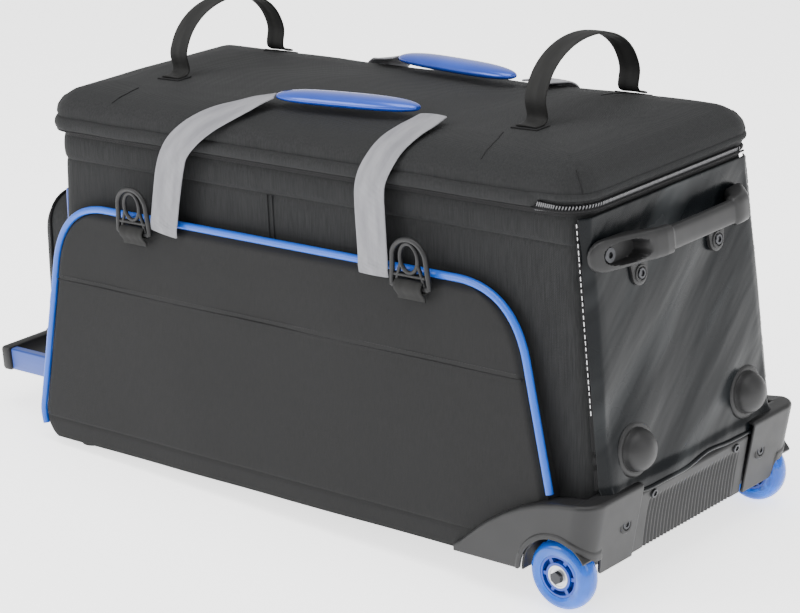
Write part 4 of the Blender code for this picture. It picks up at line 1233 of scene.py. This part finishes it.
bearing_profile = [(0.0045, 0.0100), (0.0064, 0.0100), (0.0066, 0.0094), (0.0092, 0.0094), (0.0094, 0.0100),
                   (0.0110, 0.0100), (0.0110, -0.0100), (0.0094, -0.0100), (0.0092, -0.0094),
                   (0.0066, -0.0094), (0.0064, -0.0100), (0.0045, -0.0100), (0.0045, 0.0100)]
for side, side_name in ((-1, "front"), (1, "rear")):
    low, high = bag_box(f"wheel_tyre_{side_name}")
    seat = Matrix.Translation((low + high) / 2) @ Matrix.Rotation(math.pi / 2, 4, "X")
    body = f"wheel_{side_name}"
    tyre = finished(f"tyre_{side_name}_clear", placed(turned(tyre_profile, 72), seat), URETHANE, body,
                    [f"wheel_tyre_{side_name}"], sharp=60)
    finished(f"core_{side_name}_spoked", placed(wheel_core(), seat), CORE_BLUE, body,
             [f"wheel_core_{side_name}"])
    finished(f"core_{side_name}_ribs", placed(core_ribs(), seat), CORE_BLUE, body, ())
    finished(f"bearing_{side_name}_shielded", placed(turned(bearing_profile, 40), seat), STEEL, body,
             [f"wheel_bearing_{side_name}"])
print("tyre faces:", len(tyre.data.polygons))

# %% [markdown]
# ## Carry handles
# Two lengths of grey webbing come up from the top of each pocket, over the edge of the lid, and lie
# across it to the blue grip. Where the handle lifts, the webbing bends between the bag and the handle;
# here each strap is one fixed mesh on no body, so it does not follow the handle.

# %% Path of the webbing
GRIP_HALF = 0.0825
WEB_WIDTH = 0.038
runs = {  # centres for the front handle, and which way the webbing faces there
    -1: [((-0.1710, -0.1500, 0.2850), (0, -1.0, 0)), ((-0.1700, -0.1508, 0.2925), (0, -1.0, 0)),
         ((-0.1685, -0.1498, 0.3020), (0, -1.0, 0)), ((-0.1640, -0.1488, 0.3230), (0, -1.0, 0)),
         ((-0.1575, -0.1480, 0.3480), (0, -1.0, 0)), ((-0.1500, -0.1474, 0.3660), (0, -0.97, 0.2)),
         ((-0.1405, -0.1455, 0.3800), (0, -0.88, 0.45)), ((-0.1250, -0.1395, 0.3940), (0, -0.75, 0.66)),
         ((-0.1060, -0.1295, 0.4060), (0, -0.55, 0.83)), ((-0.0850, -0.1150, 0.4150), (0, -0.28, 0.95)),
         ((-0.0690, -0.1020, 0.4215), (0, -0.12, 1.0)), ((-0.0540, -0.0925, 0.4262), (0, 0, 1.0))],
    1: [((0.1130, -0.1500, 0.2850), (0, -1.0, 0)), ((0.1130, -0.1508, 0.2925), (0, -1.0, 0)),
        ((0.1130, -0.1500, 0.3020), (0, -1.0, 0)), ((0.1122, -0.1488, 0.3230), (0, -1.0, 0)),
        ((0.1118, -0.1480, 0.3480), (0, -1.0, 0)), ((0.1125, -0.1474, 0.3660), (0, -0.97, 0.2)),
        ((0.1160, -0.1450, 0.3810), (0, -0.88, 0.45)), ((0.1225, -0.1370, 0.3970), (0, -0.75, 0.66)),
        ((0.1280, -0.1270, 0.4080), (0, -0.55, 0.83)), ((0.1330, -0.1110, 0.4160), (0, -0.28, 0.95)),
        ((0.1345, -0.0920, 0.4200), (0, -0.10, 1.0)), ((0.1330, -0.0740, 0.4225), (0, 0, 1.0))],
}


def strap_stations(side, hand):
    """Centres and cross directions along a strap, from the pocket to the grip."""
    mirrored = Vector((1, -side, 1))
    centres = [Vector(place) * mirrored for place, _ in runs[hand]]
    facings = [Vector(facing) * mirrored for _, facing in runs[hand]]
    across = []
    for index, facing in enumerate(facings):
        onward = centres[min(index + 1, len(centres) - 1)] - centres[max(index - 1, 0)]
        sideways = onward.cross(facing).normalized()
        across.append(sideways if sideways.x > 0 else -sideways)
    return smooth_line(centres, 6), smooth_line(across, 6)


def strap_sheet(side, hand):
    centres, across = strap_stations(side, hand)
    last = len(centres) - 1

    def place(u, v):
        index = round(v * last)
        taper = 1 - (0.5 if hand < 0 else 0.15) * ease((v - 0.86) / 0.14)
        crown = 0.0012 * (1 - (2 * u - 1) ** 2)
        edge_curl = Vector((0, 0, crown)) if v > 0.6 else Vector((0, side * crown, 0))
        sideways = across[index].normalized() * (u - 0.5) * WEB_WIDTH * taper
        return centres[index] + sideways + edge_curl

    return sheet(8, last, place, (WEB_WIDTH, 0.36))


for side, side_name in ((-1, "front"), (1, "rear")):
    for hand, hand_name in ((-1, "left"), (1, "right")):
        strap = finished(f"carry_webbing_{side_name}_{hand_name}", strap_sheet(side, hand), GREY_WEB, None,
                         [f"carry_strap_{side_name}_{hand_name}"])
        thickened(strap, 0.0022)
        subdivided(strap)
        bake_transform(strap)
print("webbing stations:", len(strap_stations(-1, -1)[0]))

# %% [markdown]
# ## The blue grips
# Each grip is a boat-shaped moulding with a flatter underside and narrow ends that clamp the webbing. A
# skin of oval sections gives it, each fuller above than below and smaller towards the ends.

# %% Grips
def grip_sections(side):
    low, high = bag_box(f"carry_grip_{'front' if side < 0 else 'rear'}")
    centre = (low + high) / 2
    turn = -side * math.radians(6.9)
    along = Vector((math.cos(turn), math.sin(turn), 0))
    wide_way = Vector((-along.y, along.x, 0))
    sections = []
    for step in range(41):
        t = -1 + step / 20
        reach = GRIP_HALF * math.sin(t * math.pi / 2)
        full = max(1 - abs(math.sin(t * math.pi / 2)) ** 3.2, 0.0) ** 0.55
        wide, top, under = 0.0035 + 0.0115 * full, 0.0020 + 0.0060 * full, 0.0016 + 0.0040 * full
        lift = 0.0006 * math.cos(t * math.pi / 2)
        ring = []
        for k in range(28):
            angle = 2 * math.pi * k / 28
            tall = top if math.sin(angle) > 0 else under
            sideways = math.copysign(abs(math.cos(angle)) ** 0.85, math.cos(angle))
            ring.append(centre + along * reach + wide_way * wide * sideways
                        + Vector((0, 0, lift + tall * math.sin(angle))))
        sections.append(ring)
    return sections


for side, side_name in ((-1, "front"), (1, "rear")):
    grip = finished(f"blue_grip_{side_name}", skin(grip_sections(side)), BLUE_GRIP,
                    f"carry_handle_{side_name}", [f"carry_grip_{side_name}"], sharp=70)
    subdivided(grip)
print("grip faces:", len(grip.data.polygons))

# %% [markdown]
# ## D-rings
# Each ring is a moulded arch with an eye inside it and a bar through a loop of webbing. It is built of
# tubes along its ribs, which leaves the real windows open, and rides on its own hinge.

# %% D-rings and their loops
def dring_bmesh(centre):
    bm = bmesh.new()
    toward = Vector((0, 1, 0))

    def flat(points):
        return [centre + Vector((x, 0, z)) for x, z in points]

    arch = [(-0.0226, -0.001), (-0.0222, 0.008), (-0.0212, 0.018)]
    arch += [(0.0205 * math.cos(a), 0.0262 + 0.0188 * math.sin(a)) for a in
             [math.radians(180 - 12 * k) for k in range(1, 15)]]
    arch += [(0.0212, 0.018), (0.0222, 0.008), (0.0226, -0.001)]
    tube_into(bm, smooth_line(flat(arch), 3), 0.0026, 10, up=toward)
    eye = [(0.0108 * math.cos(a), 0.0272 + 0.0142 * math.sin(a)) for a in
           [2 * math.pi * k / 24 for k in range(24)]]
    tube_into(bm, flat(eye), 0.0021, 10, closed=True, up=toward)
    for hand in (-1, 1):
        tube_into(bm, flat([(hand * 0.0105, 0.0225), (hand * 0.0150, 0.0100), (hand * 0.0180, -0.001)]),
                  0.0018, 8, up=toward)
    tube_into(bm, flat([(-0.0226, 0.0), (0.0, 0.0), (0.0226, 0.0)]), 0.0028, 10, up=toward)
    tube_into(bm, flat([(-0.0190, 0.0102), (0.0, 0.0102), (0.0190, 0.0102)]), 0.0017, 8, up=toward)
    return bm


def loop_bmesh(centre):
    """The barrel of webbing round the bar, with its tail sewn to the pocket."""
    def place(u, v):
        x = mix(-0.0168, 0.0168, u)
        turn = mix(-0.35 * math.pi, 1.35 * math.pi, v)
        tuck = 0.0002 * math.sin(u * math.pi)
        if v > 0.93:
            return centre + Vector((x, 0, -0.0068 - 0.006 * (v - 0.93) / 0.07))
        return centre + Vector((x, (0.0054 + tuck) * math.cos(turn), (0.0060 + tuck) * math.sin(turn)))

    return sheet(12, 26, place, (0.034, 0.04))


for side, side_name in ((-1, "front"), (1, "rear")):
    for place_name in ("left", "right"):
        node = f"dring_tab_{side_name}_{place_name}"
        low, high = bag_box(node)
        bar = (low + high) / 2
        ring = finished(f"ring_{side_name}_{place_name}_moulding", dring_bmesh(bar), PLASTIC,
                        f"ring_{side_name}_{place_name}", [f"dring_{side_name}_{place_name}"],
                        sharp=60)
        loop = finished(f"ring_loop_{side_name}_{place_name}", loop_bmesh(bar), BLACK_WEB, "bag", [node])
        thickened(loop, 0.0014)
print("ring faces:", len(ring.data.polygons))

# %% [markdown]
# ## Tie straps
# Two hoops of black webbing on the lid hold long things such as a folded stand. They stand up by their
# own stiffness, and a small patch is sewn over each foot. A sheet laid along the hoop's line gives the
# webbing, and each patch is a thin slab that follows the lid.

# %% Tie straps
def hoop_sheet(node):
    low, high = bag_box(node)
    middle_x, middle_y = (low.x + high.x) / 2, (low.y + high.y) / 2
    half = (high.y - low.y) / 2
    base = low.z + 0.0014
    tall = high.z - base - 0.0012
    wide = high.x - low.x
    outline = [(-half, 0.0), (-half + 0.012, 0.0004), (-half + 0.0165, 0.006)]
    outline += [((half - 0.012) * math.cos(a), tall * math.sin(a) ** 0.75) for a in
                [math.radians(180 - 12 * k) for k in range(1, 15)]]
    outline += [(half - 0.0165, 0.006), (half - 0.012, 0.0004), (half, 0.0)]
    points = []
    for y, z in outline:
        settle = lid_surface(middle_x, middle_y + y) + 0.0020 - base
        points.append(Vector((middle_x, middle_y + y, base + z + settle * (1 - ease(z / (0.6 * tall))))))
    line = smooth_line(points, 5)
    last = len(line) - 1

    def place(u, v):
        index = round(v * last)
        sway = 0.004 * math.sin(math.pi * v)
        return line[index] + Vector(((u - 0.5) * wide + sway, 0, 0.0006 * (1 - (2 * u - 1) ** 2)))

    return sheet(8, last, place, (wide, 0.30))


for end_name in ("left", "right"):
    hoop = finished(f"tie_hoop_{end_name}", hoop_sheet(f"tie_strap_{end_name}"), BLACK_WEB, "lid",
                    [f"tie_strap_{end_name}"])
    thickened(hoop, 0.0022)
    subdivided(hoop)
    low, high = bag_box(f"tie_strap_{end_name}")
    feet = bmesh.new()
    for y, inwards in ((low.y, 1), (high.y, -1)):
        corners = [(low.x - 0.003, y - inwards * 0.003), (high.x + 0.003, y - inwards * 0.003),
                   (high.x + 0.003, y + inwards * 0.016), (low.x - 0.003, y + inwards * 0.016)]
        corners = corners if inwards > 0 else corners[::-1]
        levels = [[Vector((x, y0, lid_surface(x, y0) + rise_by)) for x, y0 in corners]
                  for rise_by in (-0.003, 0.0011)]
        skin_into(feet, levels)
    finished(f"tie_feet_{end_name}", feet, BINDING, "lid", ())
print("hoop faces:", len(hoop.data.polygons))

# %% [markdown]
# ## The end pouch
# On the pull-handle end sits a padded pouch between the handle's arms, closed by a zip round its crown.
# It is a skin of rounded rectangles that shrink as they leave the bag. The zip and the welt at the
# pouch's foot are thin tubes, and a short blue trim stands at its near corner.

# %% The pouch
pouch_low, pouch_high = bag_box("end_pocket")
pouch_layers = [(0.0004, 0.0), (0.012, -0.0015), (0.026, -0.0020), (0.040, -0.0008), (0.046, 0.0006),
                (0.049, 0.0004), (0.056, 0.0035), (0.064, 0.0075), (0.070, 0.0130), (0.0745, 0.0200),
                (0.0770, 0.0290), (0.0782, 0.0400)]


def pouch_section(out, inset):
    ring = round_the_bag(pouch_low.z + inset, pouch_high.z - inset * 1.15, pouch_high.y - inset, 0.030,
                         28, 36, 7)
    section = []
    for point, normal in ring:
        z, y = point.x, point.y
        x = left_x(z) - out + wobble((out, y, z), 0.05, 0.0018) * min(out / 0.02, 1.0)
        section.append(Vector((x, y, z)))
    return section


pouch = finished("end_pouch", skin([pouch_section(*layer) for layer in pouch_layers]), TUB_CLOTH, "bag",
                 ["end_pocket"])
subdivided(pouch)
for name, out, radius in (("pouch_zip_line", 0.0475, 0.0016), ("pouch_welt", 0.0035, 0.0018)):
    finished(name, tube(pouch_section(out, -0.0004), radius, 8, True), BINDING, "bag", ())
trim = [Vector((left_x(z) - 0.0042, -0.1135, z)) for z in [mix(0.252, 0.300, k / 8) for k in range(9)]]
finished("pouch_blue_trim", tube(trim, 0.0026, 8), BLUE_METAL, "bag", ())
print("pouch faces:", len(pouch.data.polygons))

# %% [markdown]
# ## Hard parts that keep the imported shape
# The tray, the board, the feet, the sleeves, the axle bolts, the release button and the zip sliders
# already have their true shape. They only need a finish, which is put in the slot of each node's own
# mesh. The pull handle's arms and grip are handled and seen close, so they are copied with the small
# rounding that drawn metal and moulded plastic have.

# %% Rounded copies of hard parts
def rounded_copy(name, node, finish, width):
    """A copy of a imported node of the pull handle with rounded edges."""
    bm = bmesh.new()
    bm.from_mesh(frame["nodes"][node].data)
    bmesh.ops.remove_doubles(bm, verts=bm.verts, dist=0.00002)
    bmesh.ops.dissolve_limit(bm, angle_limit=math.radians(3), verts=bm.verts, edges=bm.edges)
    mesh = bpy.data.meshes.new(name)
    for face in bm.faces:
        face.smooth = True
    bm.to_mesh(mesh)
    bm.free()
    mesh.materials.append(finish)
    piece = bpy.data.objects.new(name, mesh)
    bpy.context.scene.collection.objects.link(piece)
    bevel = piece.modifiers.new("rounded edges", "BEVEL")
    bevel.width = width
    bevel.segments = 3
    bevel.limit_method = "ANGLE"
    bevel.angle_limit = math.radians(28)
    bevel.harden_normals = True
    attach(piece, "pull_handle")
    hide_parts(node)


# %% Finishes of the other nodes
def dress(nodes, finish):
    for node in nodes:
        mesh = frame["nodes"][node].data
        mesh.materials.clear()
        mesh.materials.append(finish)


BOTH = ("front", "rear")
dress(["base_tray", "release_button"], PLASTIC)
dress(["base_board"], LINING_CLOTH)
dress(["foot_front", "foot_rear"], RUBBER)
dress([f"handle_sleeve_{s}" for s in BOTH], DARK_STEEL)
dress([f"axle_bolt_{s}" for s in BOTH], DARK_STEEL)
dress([f"zip_slider_{s}" for s in BOTH], ZIP_METAL)
dress([f"zip_pull_{s}" for s in BOTH], GRIP_BLACK)
for s in BOTH:
    rounded_copy(f"pull_arm_{s}", f"handle_arm_{s}", BLUE_METAL, 0.0012)
rounded_copy("pull_grip_moulding", "pull_grip", GRIP_BLACK, 0.0014)
print("nodes with new finishes:", sum(1 for node in frame["nodes"].values() if not node.hide_render))

# %% [markdown]
# ## Stage, light and camera
# A pale floor and large soft lights suit a dark object: the lights are what the glossy sheet and the
# wheels reflect. The camera stands off to the wheel end and above, with a long lens, so the bag's long
# side runs away from it with little perspective.

# %% The floor
floor_bm = bmesh.new()
bmesh.ops.create_grid(floor_bm, x_segments=2, y_segments=2, size=30.0)
floor_mesh = bpy.data.meshes.new("floor")
floor_bm.to_mesh(floor_mesh)
floor_bm.free()
floor = bpy.data.objects.new("floor", floor_mesh)
bpy.context.scene.collection.objects.link(floor)
floor_finish = new_finish("pale_floor", (0.95, 0.95, 0.95), 0.75, Emission_Color=(1.0, 1.0, 1.0, 1.0),
                          Emission_Strength=1.9)
raise_relief(floor_finish, pattern(floor_finish, "noise", 40.0), 0.0002, 0.2)
floor_mesh.materials.append(floor_finish)
floor.location.z = -0.0004

# %% The sky and the lamps
world = bpy.data.worlds.new("studio")
bpy.context.scene.world = world
world.use_nodes = True
world.node_tree.nodes["Background"].inputs["Color"].default_value = (1.0, 1.0, 1.0, 1.0)
world.node_tree.nodes["Background"].inputs["Strength"].default_value = 0.95


def soft_light(name, place, aim, width, height, watts):
    data = bpy.data.lights.new(name, "AREA")
    data.shape = "RECTANGLE"
    data.size = width
    data.size_y = height
    data.energy = watts
    lamp = bpy.data.objects.new(name, data)
    bpy.context.scene.collection.objects.link(lamp)
    lamp.location = place
    lamp.rotation_euler = (Vector(aim) - Vector(place)).to_track_quat("-Z", "Y").to_euler()


soft_light("overhead", (0.2, -0.4, 2.6), (0.0, 0.0, 0.2), 2.4, 1.8, 64)
soft_light("front_left", (-1.6, -2.4, 1.5), (0.0, 0.0, 0.2), 1.4, 1.4, 40)
soft_light("wheel_end", (2.6, 0.2, 1.3), (0.3, 0.0, 0.25), 0.7, 1.6, 13)
print("lamps:", len(bpy.data.lights))

# %% The camera
CAMERA_AT = Vector((1.6735, -1.8081, 0.9794))
azimuth, height_angle, roll_angle = (math.radians(v) for v in (42.307, 17.607, -4.03))
back = Vector((math.sin(azimuth) * math.cos(height_angle), -math.cos(azimuth) * math.cos(height_angle),
               math.sin(height_angle)))
level_right = (-back).cross(Vector((0, 0, 1))).normalized()
level_up = level_right.cross(-back)
right = level_right * math.cos(roll_angle) + level_up * math.sin(roll_angle)
upward = level_up * math.cos(roll_angle) - level_right * math.sin(roll_angle)
facing = Matrix((right, upward, back)).transposed().to_4x4()
lens = bpy.data.cameras.new("camera")
lens.lens = 114.9
lens.sensor_width = 36.0
lens.shift_x = -0.0209
lens.shift_y = -0.0075
lens.clip_start = 0.05
lens.clip_end = 200.0
camera = bpy.data.objects.new("camera", lens)
bpy.context.scene.collection.objects.link(camera)
camera.matrix_world = STANCE @ Matrix.Translation(CAMERA_AT) @ facing
bpy.context.scene.camera = camera
print("camera at", [round(v, 3) for v in camera.matrix_world.translation])
